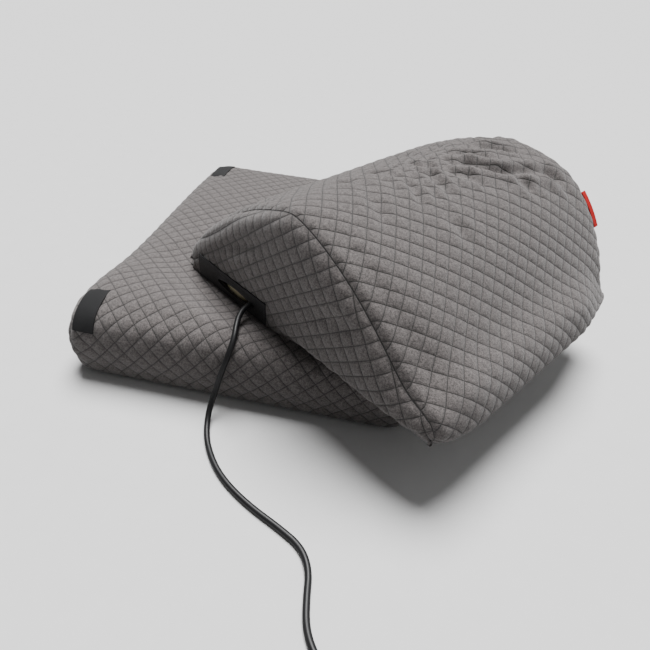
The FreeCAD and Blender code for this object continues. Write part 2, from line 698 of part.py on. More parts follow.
def pipe(name, points, tube_radius, bend=None, report=None):
    """A round tube along a route, checked against its section times its length."""
    wire = rounded_path(points, bend, report)
    first = wire.Edges[0]
    start = first.valueAt(first.FirstParameter)
    ring = Part.Wire([Part.Circle(start, first.tangentAt(first.FirstParameter), tube_radius).toShape()])
    shape = wire.makePipeShell([ring], True, False, 2)
    expected = math.pi * tube_radius**2 * wire.Length
    if abs(shape.Volume / expected - 1) > 0.01:
        raise RuntimeError(f"{name}: tube volume {shape.Volume:.0f}, expected {expected:.0f}")
    if report:
        print(report, "length", round(wire.Length, 1))
    made = doc.addObject("Part::Feature", name)
    made.Shape = shape
    return made


# ---------------------------------------------------------------- zips


def build_zip(prefix, frame):
    """Tape with its chain, slider and pull. In the zip's own frame the run is X, up is Z and outside is -Y."""
    clear = size.zip_clear
    run = size.zip_run
    tape = box(f"{prefix}_tape_form", "zip_run", "tape_thick", "tape_height",
               (-run / 2, -size.tape_thick, -size.tape_height / 2))
    chain = box(f"{prefix}_chain_form", "zip_run", "chain_proud + tape_thick", "chain_height",
                (-run / 2, -size.tape_thick - size.chain_proud, -size.chain_height / 2))
    node(f"{prefix}_zip_tape", group(f"{prefix}_tape_chain", [tape, chain], "Part::MultiFuse"), frame)

    start = -run / 2 + size.zip_stop
    face = -size.tape_thick - clear
    deep = size.slider_deep
    body = box(f"{prefix}_slider_form", "slider_long", "slider_deep", "slider_tall",
               (start, face - deep, -size.slider_tall / 2))
    way = box(f"{prefix}_slider_way", "4 * slider_long", "chain_proud + 2 * zip_clear",
        "chain_height + 2 * zip_clear",
              (start - size.slider_long, face - size.chain_proud - clear, -size.chain_height / 2 - clear))
    pin_y = face - deep - size.pull_thick / 2 - size.zip_pin / 2 - clear
    pin_x = start + size.slider_long / 2
    ear_height = "(slider_tall - pull_tall) / 2 - zip_clear"
    ear_value = (size.slider_tall - size.pull_tall) / 2 - clear
    ears = [
        box(f"{prefix}_ear_{side}", "2 * zip_pin", "pull_thick + zip_pin + 2 * zip_clear", ear_height,
            (pin_x - size.zip_pin, pin_y - size.zip_pin, z))
        for side, z in ((1, size.slider_tall / 2 - ear_value), (-1, -size.slider_tall / 2))
    ]
    pin = cylinder(f"{prefix}_pin_form", "zip_pin / 2", "slider_tall - zip_clear",
                   (pin_x, pin_y, -size.slider_tall / 2 + clear / 2))
    slider = group(f"{prefix}_slider_solid", [cut(f"{prefix}_slider_cut", body, way), *ears, pin],
        "Part::MultiFuse")
    node(f"{prefix}_zip_slider", slider, frame)

    plate = box(f"{prefix}_pull_plate", "pull_long", "pull_thick", "pull_tall",
                (pin_x, pin_y - size.pull_thick / 2, -size.pull_tall / 2))
    eye = cylinder(f"{prefix}_pull_eye", "zip_pin / 2 + pull_thick / 2 + 2 * pin_clear", "pull_tall",
                   (pin_x, pin_y, -size.pull_tall / 2))
    hole = cylinder(f"{prefix}_pull_hole", "zip_pin / 2 + pin_clear", "2 * pull_tall",
        (pin_x, pin_y, -size.pull_tall))
    pull = group(f"{prefix}_pull_solid", [plate, eye], "Part::MultiFuse")
    node(f"{prefix}_zip_pull", cut(f"{prefix}_pull_cut", pull, hole), frame)
    at = frame.multVec(Vector(pin_x, pin_y, 0))
    print(f"{prefix} zip pull pin at", [round(value, 3) for value in at])


# ---------------------------------------------------------------- cord, controller, plug

CONTROL_AT = (280, -510)
COIL_AT = (393, -553)
PLUG_BACK = (346, -598.5)
FIRST_RUN = 13  # the lead leaves and arrives straight for this far


def lead_route(exit_point, outward, inlet, level):
    """Points of the lead: out of the slot, over the pad's front edge, along the floor and into the controller."""
    rest = size.cord_wide / 2
    first = Vector(*exit_point) + outward * FIRST_RUN
    return [
        tuple(exit_point),
        tuple(first),
        (-4, -208, 95.5),
        (-3, -223, 92),
        (0, -239, 86.5),
        (-2, -255, 74),
        (-8, -264, 54),
        (-13, -270, 34),
        (-17, -281, 17),
        (-15.5, -297, 6.2),
        (-8, -317, rest),
        (5, -337, rest),
        (20, -354, rest),
        (41, -370, rest),
        (66, -384, rest),
        (95, -397, rest),
        (119, -410, rest),
        (131, -429, rest),
        (134, -453, rest),
        (139, -477, rest),
        (152, -496, rest),
        (168, -507, rest + 1),
        (inlet - FIRST_RUN, CONTROL_AT[1], level),
        (inlet, CONTROL_AT[1], level),
    ]


def build_controller(frame):
    """In-line controller. In its own frame it lies along X on z = 0, middle at the origin."""
    long, wide, tall = size.control_long, size.control_wide, size.control_tall
    corner, wall, split = size.control_corner, size.control_wall, size.split_level
    numbers = [long, wide, corner]
    lower_form = block("control_low_form", "control_long", "control_wide", "split_level", "control_corner",
        numbers)
    doc.recompute()
    full = block("control_form", "control_long", "control_wide", "control_tall", "control_corner", numbers,
                 edge="control_edge")
    inner = block("control_hollow", "control_long - 2 * control_wall", "control_wide - 2 * control_wall",
                  "control_tall - 2 * control_wall", "control_corner - control_wall",
                  [long - 2 * wall, wide - 2 * wall, corner - wall])
    inner.Placement.Base.z = wall
    shell = cut("control_shell", full, inner)
    lower = common("control_low_shell", shell, lower_form)
    high_box = box("control_high_window", "2 * control_long", "2 * control_wide", "control_tall",
                   (-long, -wide, split))
    upper = common("control_high_shell", shell, high_box)
    ports = [
        cylinder(f"control_port_{side}", "relief_wide / 2", "3 * control_wall",
                 (side * long / 2 - 1.5 * wall, 0, split), (1, 0, 0))
        for side in (-1, 1)
    ]
    port = group("control_ports", ports)
    half_slot = size.switch_travel + size.switch_long / 2 + size.switch_side
    window = box("switch_window", "switch_long + 2 * switch_travel + 2 * switch_side",
                 "switch_wide + 2 * switch_side", "control_tall",
                 (size.switch_shift - half_slot, -size.switch_wide / 2 - size.switch_side, split + wall))
    eye = cylinder("lens_hole", "lens_wide / 2", "control_tall", (size.lens_shift, 0, split + wall))
    screw_x, screw_y = long / 2 - corner, wide / 2 - corner + 3
    spots = [(side * screw_x, end * screw_y) for side in (-1, 1) for end in (-1, 1)]
    posts = [
        cylinder(f"control_post_{count}", "screw_head / 2 + post_wall", "split_level - 0.5 * control_wall",
                 (x, y, wall / 2)) for count, (x, y) in enumerate(spots)
    ]
    post_tops = [
        cylinder(f"control_boss_{count}", "screw_head / 2 + post_wall",
            "control_tall - split_level - 0.5 * control_wall",
                 (x, y, split)) for count, (x, y) in enumerate(spots)
    ]
    drills = [
        cylinder(f"control_drill_{count}", "screw_shank / 2", "control_tall - 2 * control_wall", (x, y, 0))
        for count, (x, y) in enumerate(spots)
    ]
    sinks = [
        cylinder(f"control_sink_{count}", "screw_head / 2 + 0.1", "control_wall + 0.2", (x, y, -0.2))
        for count, (x, y) in enumerate(spots)
    ]
    drill, sink = group("control_drills", drills), group("control_sinks", sinks)
    low = group("control_low_solid", [lower, *posts], "Part::MultiFuse")
    high = group("control_high_solid", [upper, *post_tops], "Part::MultiFuse")
    node("controller_base", cut("control_low_done", low, port, drill, sink), frame)
    node("controller_cover", cut("control_high_done", high, port, drill, window, eye), frame)
    screws = []
    for count, (x, y) in enumerate(spots):
        shank = cylinder(f"control_screw_shank_{count}", "screw_shank / 2", "control_tall - 3 * control_wall",
                         (x, y, 0.4))
        head = cylinder(f"control_screw_head_{count}", "screw_head / 2", "control_wall - 0.4", (x, y, 0.4))
        screws.append(group(f"control_screw_{count}", [shank, head], "Part::MultiFuse"))
    node("controller_screws", group("control_screw_set", screws), frame)

    board_z = split - size.board_drop
    board = box("board_form", "control_long - 2 * control_corner - 2 * screw_head",
                "control_wide - 4 * control_wall", "board_thick",
                (-(long - 2 * corner - 2 * size.screw_head) / 2, -(wide - 4 * wall) / 2, board_z))
    node("control_board", board, frame)
    body_z = board_z + size.board_thick
    body = box("selector_form", "switch_long + 2 * switch_travel + 4", "switch_wide + 4", "selector_tall",
               (size.switch_shift - size.switch_travel - size.switch_long / 2 - 2,
                   -size.switch_wide / 2 - 2, body_z))
    node("selector_switch", body, frame)
    foot_z = body_z + size.selector_tall + size.switch_side
    under = tall - wall - size.switch_side
    flange = box("knob_flange", "switch_long", "switch_wide + 3", "flange_tall",
                 (size.switch_shift - size.switch_long / 2, -size.switch_wide / 2 - 1.5, foot_z))
    stem = box("knob_stem", "switch_long", "switch_wide",
               "control_tall + switch_proud - split_level - board_thick - 0.5",
               (size.switch_shift - size.switch_long / 2, -size.switch_wide / 2, foot_z + 0.2))
    if under < foot_z + size.flange_tall:
        raise RuntimeError("the controller is too shallow for its slide knob")
    node("slide_knob", group("knob_solid", [flange, stem], "Part::MultiFuse"), frame)
    lens = cylinder("lens_form", "lens_wide / 2", "control_wall + lens_proud",
        (size.lens_shift, 0, tall - wall))
    node("indicator_lens", lens, frame)
    for side, label in ((-1, "controller_inlet_relief"), (1, "controller_outlet_relief")):
        taper = cone(f"{label}_taper", "relief_wide / 2", "relief_tip / 2", "relief_long",
                     (side * long / 2, 0, split), (side, 0, 0))
        neck = cylinder(f"{label}_neck", "relief_wide / 2", "control_wall",
                        (side * (long / 2 - wall), 0, split), (side, 0, 0))
        node(label, group(f"{label}_solid", [taper, neck], "Part::MultiFuse"), frame)


def build_plug(frame):
    """Flat two-pin plug. In its own frame the cord end is the origin, and the prongs point along X."""
    level = size.plug_tall / 2
    back, nose = size.relief_long, size.relief_long + size.plug_long
    body = doc.addObject("PartDesign::Body", "plug_form")
    outline = sketch_on(body, "plug_outline", "XY_Plane")
    narrow, wide = size.plug_nose / 2, size.plug_wide / 2
    corners = [(back, -narrow), (nose, -wide), (nose, wide), (back, narrow)]
    sides = [
        outline.addGeometry(Part.LineSegment(Vector(*start, 0), Vector(*end, 0)))
        for start, end in zip(corners, corners[1:] + corners[:1])
    ]
    for turn in range(4):
        outline.addConstraint(Constraint("Coincident", sides[turn], 2, sides[(turn + 1) % 4], 1))
    formulas = [
        ("DistanceX", 0, "relief_long", back), ("DistanceY", 0, "-plug_nose / 2", -narrow),
        ("DistanceX", 1, "relief_long + plug_long", nose), ("DistanceY", 1, "-plug_wide / 2", -wide),
        ("DistanceX", 2, "relief_long + plug_long", nose), ("DistanceY", 2, "plug_wide / 2", wide),
        ("DistanceX", 3, "relief_long", back), ("DistanceY", 3, "plug_nose / 2", narrow),
    ]
    for kind, corner, formula, value in formulas:
        made = outline.addConstraint(Constraint(kind, -1, 1, sides[corner], 1, value))
        bind_constraint(outline, made, formula)
    solid = pad_of(body, "plug_pad", outline, "plug_tall")

    def grip(edge):
        return edge.BoundBox.XMax < nose - 0.1 or edge.BoundBox.XLength > size.plug_long - 1

    fillet_edges(body, "plug_edges", solid, grip, "plug_tall / 5")
    doc.recompute()
    node("plug_body", body, frame)
    prongs = [
        cylinder(f"prong_{side}", "prong_wide / 2", "prong_long",
            (nose, side * size.prong_pitch / 2, level), (1, 0, 0))
        for side in (-1, 1)
    ]
    node("plug_pins", group("prong_pair", prongs), frame)
    taper = cone("plug_taper", "relief_tip / 2", "relief_wide / 2", "relief_long", (0, 0, level), (1, 0, 0))
    node("plug_strain_relief", taper, frame)


def build_cord(frame, cord_x, tip, level):
    """The lead, the controller, the coiled mains cord and the plug, all lying on the floor."""
    rest = size.cord_wide / 2
    exit_point = frame.multVec(Vector(cord_x, tip - size.cord_gap, level))
    control = Placement(Vector(CONTROL_AT[0], CONTROL_AT[1], 0), Rotation())
    build_controller(control)
    inlet = CONTROL_AT[0] - size.control_long / 2 - size.relief_long
    outlet = CONTROL_AT[0] + size.control_long / 2 + size.relief_long
    level_in = size.split_level
    outward = frame.Rotation.multVec(Vector(0, -1, 0))
    route = lead_route(exit_point, outward, inlet, level_in)
    node("heater_lead", pipe("heater_lead_tube", route, rest, report="heater lead"))

    # the coil: one closed ring, tied, with the cord entering at its outside and leaving on the far side
    pitch = size.cord_wide
    inner = size.coil_middle - size.coil_turns_wide / 2 * pitch
    outer = size.coil_middle + size.coil_turns_wide / 2 * pitch
    high = size.coil_turns_high * pitch
    base = size.tie_thick
    ring = Part.makeCylinder(outer, high, Vector(*COIL_AT, base))
    ring = ring.cut(Part.makeCylinder(inner, high, Vector(*COIL_AT, base)))
    coil = doc.addObject("Part::Feature", "coil_ring")
    coil.Shape = ring
    tie_out = box("tie_outside", "coil_turns_wide * cord_wide + 2 * tie_thick", "tie_width",
                  "coil_turns_high * cord_wide + 2 * tie_thick",
                  (COIL_AT[0] + inner - size.tie_thick, COIL_AT[1] - size.tie_width / 2, 0))
    node("cord_tie", cut("tie_done", tie_out, coil))
    ring_node = doc.addObject("Part::Feature", "coil_solid")
    ring_node.Shape = ring
    node("mains_cord_coil", ring_node)

    turn = size.coil_middle + (size.coil_turns_wide - 1) / 2 * pitch
    feed = [
        (outlet, CONTROL_AT[1], level_in),
        (outlet + 12, CONTROL_AT[1], level_in),
        (outlet + 24, CONTROL_AT[1] + 1.5, base + rest + 0.6),
        (COIL_AT[0] + 4, COIL_AT[1] + turn, base + rest),
    ]
    node("mains_cord_feed", pipe("mains_feed_tube", feed, rest, report="mains feed"))
    top = base + (size.coil_turns_high - 0.5) * pitch
    tail = [
        (COIL_AT[0] + 2, COIL_AT[1] - turn, top),
        (COIL_AT[0] - 18, COIL_AT[1] - turn - 1, top - 0.5),
        (PLUG_BACK[0] + 12, PLUG_BACK[1], size.plug_tall / 2),
        (PLUG_BACK[0], PLUG_BACK[1], size.plug_tall / 2),
    ]
    node("mains_cord_tail", pipe("mains_tail_tube", tail, rest, report="mains tail"))
    build_plug(Placement(Vector(PLUG_BACK[0], PLUG_BACK[1], 0), Rotation(Vector(0, 0, 1), 180)))


# ---------------------------------------------------------------- the set


def build():
    build_pad()
    frame = arch_frame()
    build_arch_covers(frame)
    channel_y, stack = build_arch_filling(frame)
    cord_x, tip, level = build_electrics(frame, channel_y, stack)
    half_turn = Rotation(Vector(0, 0, 1), 180)
    build_zip("pad", Placement(Vector(0, size.pad_depth / 2, size.pad_zip_level), half_turn))
    rear = Placement(Vector(0, size.arch_length / 2, size.arch_zip_level), half_turn)
    build_zip("arch", frame.multiply(rear))
    build_cord(frame, cord_x, tip, level)


def check_and_export():
    doc.recompute()
    for thing in doc.Objects:
        faults = [word for word in ("Invalid", "Error") if word in thing.State]
        if faults:
            raise RuntimeError(f"{thing.Label} is {faults}")
    for label, thing in nodes.items():
        if thing.Shape.isNull() or not thing.Shape.isValid() or not thing.Shape.Solids:
            raise RuntimeError(f"{label} has no valid solid")
    os.makedirs("parts", exist_ok=True)
    for label, thing in nodes.items():
        thing.Shape.exportStep(f"parts/{label}.step")
    print(len(nodes), "parts written")


build()
check_and_export()
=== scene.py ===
"""A heat cushion set: a flat seat pad, and an arched cushion with a heater that rests on it at an angle.

Everything is in metres in the model's own frame. Places on the arched cushion are worked out in its
own directions: span (across the arch), length (front to rear) and height above its base.
"""

import math

import bmesh
import bpy
import numpy as np
from mathutils import Matrix, Vector
from mathutils.bvhtree import BVHTree


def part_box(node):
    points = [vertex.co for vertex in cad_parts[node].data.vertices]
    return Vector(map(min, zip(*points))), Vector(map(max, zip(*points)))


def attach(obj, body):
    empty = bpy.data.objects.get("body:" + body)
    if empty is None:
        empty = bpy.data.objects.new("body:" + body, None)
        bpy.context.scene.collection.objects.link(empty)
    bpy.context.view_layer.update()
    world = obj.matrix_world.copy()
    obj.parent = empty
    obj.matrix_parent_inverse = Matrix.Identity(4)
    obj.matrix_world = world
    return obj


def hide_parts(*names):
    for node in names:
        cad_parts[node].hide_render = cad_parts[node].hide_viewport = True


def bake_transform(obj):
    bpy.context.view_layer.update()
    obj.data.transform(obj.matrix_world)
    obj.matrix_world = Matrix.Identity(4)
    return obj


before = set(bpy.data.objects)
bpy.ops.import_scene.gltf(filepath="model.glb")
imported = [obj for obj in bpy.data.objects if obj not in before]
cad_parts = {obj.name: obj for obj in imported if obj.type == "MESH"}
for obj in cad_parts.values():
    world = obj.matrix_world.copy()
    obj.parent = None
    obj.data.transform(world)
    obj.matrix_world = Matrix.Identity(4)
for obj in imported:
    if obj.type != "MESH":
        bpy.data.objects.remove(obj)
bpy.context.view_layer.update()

MM = 0.001

# The flat pad, from the frame
PAD_LOW, PAD_HIGH = (np.array(corner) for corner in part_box("pad_cover_quilted"))
PAD_MIDDLE = (PAD_LOW + PAD_HIGH) / 2
PAD_HALF_WIDTH, PAD_HALF_LENGTH = (PAD_HIGH - PAD_LOW)[:2] / 2
PAD_TOP = PAD_HIGH[2]
PAD_CORNER = 30 * MM
PAD_EDGE_ROUND = 16 * MM
PAD_FOOT_ROUND = 11 * MM
PAD_TURN_UNDER = 8 * MM
PAD_CENTRE_X = PAD_HALF_WIDTH - PAD_CORNER
PAD_CENTRE_Y = PAD_HALF_LENGTH - PAD_CORNER
PAD_WADDING_DEPTH = 9 * MM
PAD_FOAM_DEPTH = 15 * MM

# The arched cushion
ARCH_LOW, ARCH_HIGH = (np.array(corner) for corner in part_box("arch_cover_base"))
ARCH_TURN = math.radians(35.6)
ARCH_BASE = ARCH_LOW[2]
ARCH_ORIGIN = np.array([*((ARCH_LOW + ARCH_HIGH) / 2)[:2], ARCH_BASE])
SPAN_WAY = np.array([math.cos(ARCH_TURN), -math.sin(ARCH_TURN), 0.0])
LENGTH_WAY = np.array([math.sin(ARCH_TURN), math.cos(ARCH_TURN), 0.0])
UP = np.array([0.0, 0.0, 1.0])
HALF_SPAN = 215 * MM
HALF_ARCH = 190 * MM
FLANK_RADIUS = 325 * MM
FLANK_SIDE = 64.7 * MM
FLANK_DROP = 165.5 * MM
ARCH_FOOT_TURN = 16 * MM
FOOT_SOFTNESS = 150
OUTLINE_STEP = 1 * MM

# Quilting: stitch lines run at 45 degrees to each piece of cloth's sides
STITCH_GAP = 15 * MM
DIAMOND = STITCH_GAP * math.sqrt(2)
CLOTH_STEP = DIAMOND / 8
QUILT_RISE = 1.4 * MM
QUILT_FULLNESS = 0.55
HAND_WANDER = 0.45 * MM
PANEL_LEAN = -8.0
PANEL_ROWS = 60
COVER_WALL = 2.2 * MM
TAPE_WALL = 1.4 * MM

# Filling, blown up as cloth
SKIN_VOXEL = 5 * MM
CLOTH_PRESSURE = 4.0
CLOTH_FRAMES = 20
INWARD_SHARE = 0.2

# The cable slot in the arched cushion's front panel, and its facing
SLOT_MIDDLE = -85 * MM
SLOT_LENGTH = 72 * MM
SLOT_GAP = 11 * MM
SLOT_LEVEL = 18 * MM
FACING_MIDDLE = -95 * MM
FACING_LENGTH = 136 * MM
FACING_LOW = 3 * MM
FACING_TOP = 33 * MM

# Cords
CORD = 6.6 * MM
LEAD_EXIT = (0.00665, -0.1834, 0.0973)
LEAD_ROUTE = [
    LEAD_EXIT, (-0.0009, -0.194, 0.0973), (-0.004, -0.208, 0.0955), (-0.003, -0.223, 0.092),
    (0, -0.239, 0.0865), (-0.002, -0.255, 0.074), (-0.008, -0.264, 0.054), (-0.013, -0.27, 0.034),
    (-0.017, -0.281, 0.017), (-0.0155, -0.297, 0.0062), (-0.008, -0.317, 0.0033), (0.005, -0.337, 0.0033),
    (0.02, -0.354, 0.0033), (0.041, -0.37, 0.0033), (0.066, -0.384, 0.0033), (0.095, -0.397, 0.0033),
    (0.119, -0.41, 0.0033), (0.131, -0.429, 0.0033), (0.134, -0.453, 0.0033), (0.139, -0.477, 0.0033),
    (0.152, -0.496, 0.0033), (0.168, -0.507, 0.0043), (0.186, -0.51, 0.008), (0.199, -0.51, 0.008),
]
FEED_ROUTE = [(0.361, -0.51, 0.008), (0.373, -0.51, 0.008), (0.385, -0.5085, 0.0049)]
TAIL_ROUTE = [(0.375, -0.5996, 0.0104), (0.358, -0.5985, 0.008), (0.346, -0.5985, 0.008)]
COIL_MIDDLE = (0.393, -0.553)
COIL_RINGS = (45.6 * MM, 39 * MM, 32.4 * MM)
COIL_LEVELS = (4.3 * MM, 10.9 * MM)
COIL_TURN_POINTS = 16
COIL_TURNS = 5.5

# The camera and the stage
CAMERA_PLACE = (0.1591, -0.6464, 0.4560)
CAMERA_YAW = -0.147
CAMERA_PITCH = 0.675
CAMERA_ROLL = 0.083
CAMERA_SENSOR = 36
CAMERA_LENS = 28.52
FLOOR_SIZE = 80
SKY_LIGHT = 0.1
SKY_SEEN = 1.3


# ---------------------------------------------------------------- working with objects

def clear():
    """Nothing selected, so an operator acts only on what is selected next."""
    for thing in bpy.context.selected_objects:
        thing.select_set(False)


def pick(piece):
    clear()
    piece.select_set(True)
    bpy.context.view_layer.objects.active = piece


def points_of(piece):
    flat = np.empty(len(piece.data.vertices) * 3, np.float32)
    piece.data.vertices.foreach_get("co", flat)
    return flat.reshape(-1, 3).astype(float)


def set_points(piece, points):
    piece.data.vertices.foreach_set("co", np.asarray(points, np.float32).ravel())
    piece.data.update()


def normals_of(piece):
    flat = np.empty(len(piece.data.vertices) * 3, np.float32)
    piece.data.vertex_normals.foreach_get("vector", flat)
    return flat.reshape(-1, 3).astype(float)


def modify(piece, kind, group=None, **settings):
    """Adds a modifier and applies it, as by hand."""
    pick(piece)
    modifier = piece.modifiers.new(kind.lower(), kind)
    for name, value in settings.items():
        setattr(modifier, name, value)
    if group:
        modifier.vertex_group = group
    bpy.ops.object.modifier_apply(modifier=modifier.name)


def edit(piece, *steps):
    """Runs edit mode operators on the whole mesh."""
    pick(piece)
    bpy.ops.object.mode_set(mode="EDIT")
    bpy.ops.mesh.select_all(action="SELECT")
    for step in steps:
        step()
    bpy.ops.object.mode_set(mode="OBJECT")


def weigh(piece, name, weights):
    """A vertex group whose weights are given point by point, in 32 steps."""
    group = piece.vertex_groups.new(name=name)
    steps = np.round(np.clip(weights, 0, 1) * 32).astype(int)
    for step in np.unique(steps):
        group.add(np.flatnonzero(steps == step).tolist(), step / 32, "REPLACE")
    return name


def smooth_shade(piece, angle=60):
    pick(piece)
    bpy.ops.object.shade_smooth_by_angle(angle=math.radians(angle))


def finish_piece(piece, name, body, finish, replaces=(), angle=60):
    piece.name = name
    piece.data.name = name
    piece.data.materials.clear()
    piece.data.materials.append(finish)
    smooth_shade(piece, angle)
    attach(piece, body)
    if replaces:
        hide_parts(*replaces)
    return piece


def step_up(value, low, high):
    """0 below low, 1 above high, and smooth between."""
    share = np.clip((value - low) / (high - low), 0, 1)
    return share * share * (3 - 2 * share)


def bell(value, middle, width):
    return np.exp(-(((value - middle) / width) ** 2))


# ---------------------------------------------------------------- cloth

def cloth_grid(columns, rows):
    """A flat grid of unit size, with each point's share across and along it."""
    clear()
    bpy.ops.mesh.primitive_grid_add(x_subdivisions=columns, y_subdivisions=rows, size=1)
    piece = bpy.context.object
    places = points_of(piece) + 0.5
    return piece, places[:, 0], places[:, 1]


def write_uv(piece, name, per_corner):
    layer = piece.data.uv_layers.get(name) or piece.data.uv_layers.new(name=name)
    layer.data.foreach_set("uv", per_corner.astype(np.float32).ravel())
    return layer


def lay_pattern(piece, per_corner):
    """The piece's UV map: cloth position in diamonds, turned so that stitch lines are at whole numbers."""
    across, along = per_corner[:, 0] / DIAMOND, per_corner[:, 1] / DIAMOND
    turned = np.stack([across + along, across - along], axis=1)
    piece.data.uv_layers.active = write_uv(piece, "cloth", turned)


def mark_seams(piece, distance):
    """Each point's distance to its nearest seam, in mm, where the finish paints a dark line of shade."""
    layer = piece.data.attributes.new("edge", "FLOAT", "POINT")
    layer.data.foreach_set("value", np.asarray(distance / MM, np.float32))


def lay_on(tree, starts, out, plan, reach, stand):
    """Points that lie on a quilted surface along each start's outward way, evened out over the quilting."""
    lift = np.empty(len(starts))
    for k, (start, way) in enumerate(zip(starts, out)):
        hit, *_ = tree.ray_cast(Vector(start + way * 0.06), Vector(-way), 0.1)
        lift[k] = (np.array(hit) - start) @ way if hit is not None else np.nan
    known = ~np.isnan(lift)
    apart = ((plan[:, None, :] - plan[None, known, :]) ** 2).sum(axis=2)
    weight = np.exp(-apart / (2 * reach ** 2)) + 1e-12
    even = (weight * lift[known]).sum(axis=1) / weight.sum(axis=1)
    return starts + out * (even + stand)[:, None]


def tree_of(piece):
    faces = [tuple(face.vertices) for face in piece.data.polygons]
    return BVHTree.FromPolygons([Vector(point) for point in points_of(piece)], faces)


def corners_of(piece):
    index = np.empty(len(piece.data.loops), np.int32)
    piece.data.loops.foreach_get("vertex_index", index)
    return index


def quilt_height(cloth):
    """How far the cloth stands up between its stitch lines."""
    across, along = cloth[:, 0] / DIAMOND, cloth[:, 1] / DIAMOND
    first = np.abs(np.sin(math.pi * (across + along)))
    second = np.abs(np.sin(math.pi * (across - along)))
    return QUILT_RISE * (first * second) ** QUILT_FULLNESS


def waver(cloth, seed):
    """Cloth positions with the slight wander that hand-fed quilting has."""
    across, along = cloth[:, 0], cloth[:, 1]
    drift = np.stack([
        np.sin(along * 31 + seed) + np.sin(across * 19 + 2.1 * seed),
        np.sin(across * 27 + 1.3 * seed) + np.sin(along * 17 + 0.7 * seed),
    ], axis=1)
    return cloth + HAND_WANDER * drift


def inflate(piece, cap):
    """Blows a closed skin up as cloth. Points move out by no more than the cap, and in by a share of it."""
    modify(piece, "REMESH", mode="VOXEL", voxel_size=SKIN_VOXEL)
    start, out = points_of(piece), normals_of(piece)
    pick(piece)
    cloth = piece.modifiers.new("cloth", "CLOTH")
    cloth.settings.quality = 5
    cloth.settings.mass = 0.3
    cloth.settings.tension_stiffness = 12
    cloth.settings.compression_stiffness = 12
    cloth.settings.bending_stiffness = 1.5
    cloth.settings.use_pressure = True
    cloth.settings.uniform_pressure_force = CLOTH_PRESSURE
    cloth.settings.effector_weights.gravity = 0
    cloth.point_cache.frame_start = 1
    cloth.point_cache.frame_end = CLOTH_FRAMES
    for number in range(1, CLOTH_FRAMES + 1):
        bpy.context.scene.frame_set(number)
    bpy.ops.object.modifier_apply(modifier=cloth.name)
    bpy.context.scene.frame_set(1)
    moved = points_of(piece) - start
    reach = np.linalg.norm(moved, axis=1, keepdims=True)
    inward = (moved * out).sum(axis=1, keepdims=True) < 0
    moved *= np.minimum(1, np.where(inward, INWARD_SHARE, 1) * cap / np.maximum(reach, 1e-9))
    set_points(piece, start + moved)
    return piece


def drape(piece, form, weights):
    """Draws a sheet onto an inflated form, as far as its weights allow, and evens it out."""
    group = weigh(piece, "draw", weights)
    modify(piece, "SHRINKWRAP", group, target=form, wrap_method="NEAREST_SURFACEPOINT")
    modify(piece, "SMOOTH", group, factor=0.5, iterations=10)
    piece.vertex_groups.clear()


# ---------------------------------------------------------------- the flat pad

def pad_height(x, y):
    """The pad's top: a crest along the free front left, low where the arched cushion presses."""
    crest = 11 * MM * bell(y, -0.19, 0.065) * (1 - step_up(x, -0.03, 0.07))
    slump = 4 * MM * step_up(y, 0.12, 0.25) + 5 * MM * step_up(x, 0.03, 0.12) * step_up(-y, 0.16, 0.22)
    waist = 1.5 * MM * bell(y, -0.03, 0.07) * step_up(-x, 0.02, 0.14)
    free = 81 * MM + crest - slump - waist
    offset = np.stack([x, y], axis=1) - ARCH_ORIGIN[:2]
    span, length = offset @ SPAN_WAY[:2], offset @ LENGTH_WAY[:2]
    outside = np.hypot(np.maximum(np.abs(span) - HALF_SPAN, 0), np.maximum(np.abs(length) - HALF_ARCH, 0))
    pressed = ARCH_BASE - 2.2 * MM + 0.03 * outside + 0.26 * np.maximum(outside - 26 * MM, 0)
    return np.minimum(free, pressed)


def pad_reach(depth):
    """Reach from the corner's centre and height, for a length of cloth laid from there over the edge."""
    flat = PAD_CORNER - PAD_EDGE_ROUND
    over = PAD_EDGE_ROUND * math.pi / 2
    side = PAD_TOP - PAD_EDGE_ROUND - PAD_FOOT_ROUND
    under = PAD_FOOT_ROUND * math.pi / 2
    marks = np.cumsum([0, flat, over, side, under])
    turn = np.clip((depth - marks[1]) / PAD_EDGE_ROUND, 0, math.pi / 2)
    down = np.clip(depth - marks[2], 0, side)
    tuck = np.clip((depth - marks[3]) / PAD_FOOT_ROUND, 0, math.pi / 2)
    inward = np.maximum(depth - marks[4], 0)
    reach = np.minimum(depth, flat) + PAD_EDGE_ROUND * np.sin(turn)
    reach = reach - PAD_FOOT_ROUND * (1 - np.cos(tuck)) - inward
    height = PAD_TOP - PAD_EDGE_ROUND * (1 - np.cos(turn)) - down - PAD_FOOT_ROUND * np.sin(tuck)
    return reach, height


PAD_WRAP = (
    PAD_CORNER - PAD_EDGE_ROUND + (PAD_EDGE_ROUND + PAD_FOOT_ROUND) * math.pi / 2
    + PAD_TOP - PAD_EDGE_ROUND - PAD_FOOT_ROUND + PAD_TURN_UNDER
)


def past_edges(across, along):
    """How far points lie past the pad's flat middle each way, the larger of the two, and their ratio."""
    past_x = np.maximum(np.abs(across) - PAD_CENTRE_X, 0)
    past_y = np.maximum(np.abs(along) - PAD_CENTRE_Y, 0)
    depth = np.maximum(past_x, past_y)
    return past_x, past_y, depth, np.minimum(past_x, past_y) / np.maximum(depth, 1e-9)


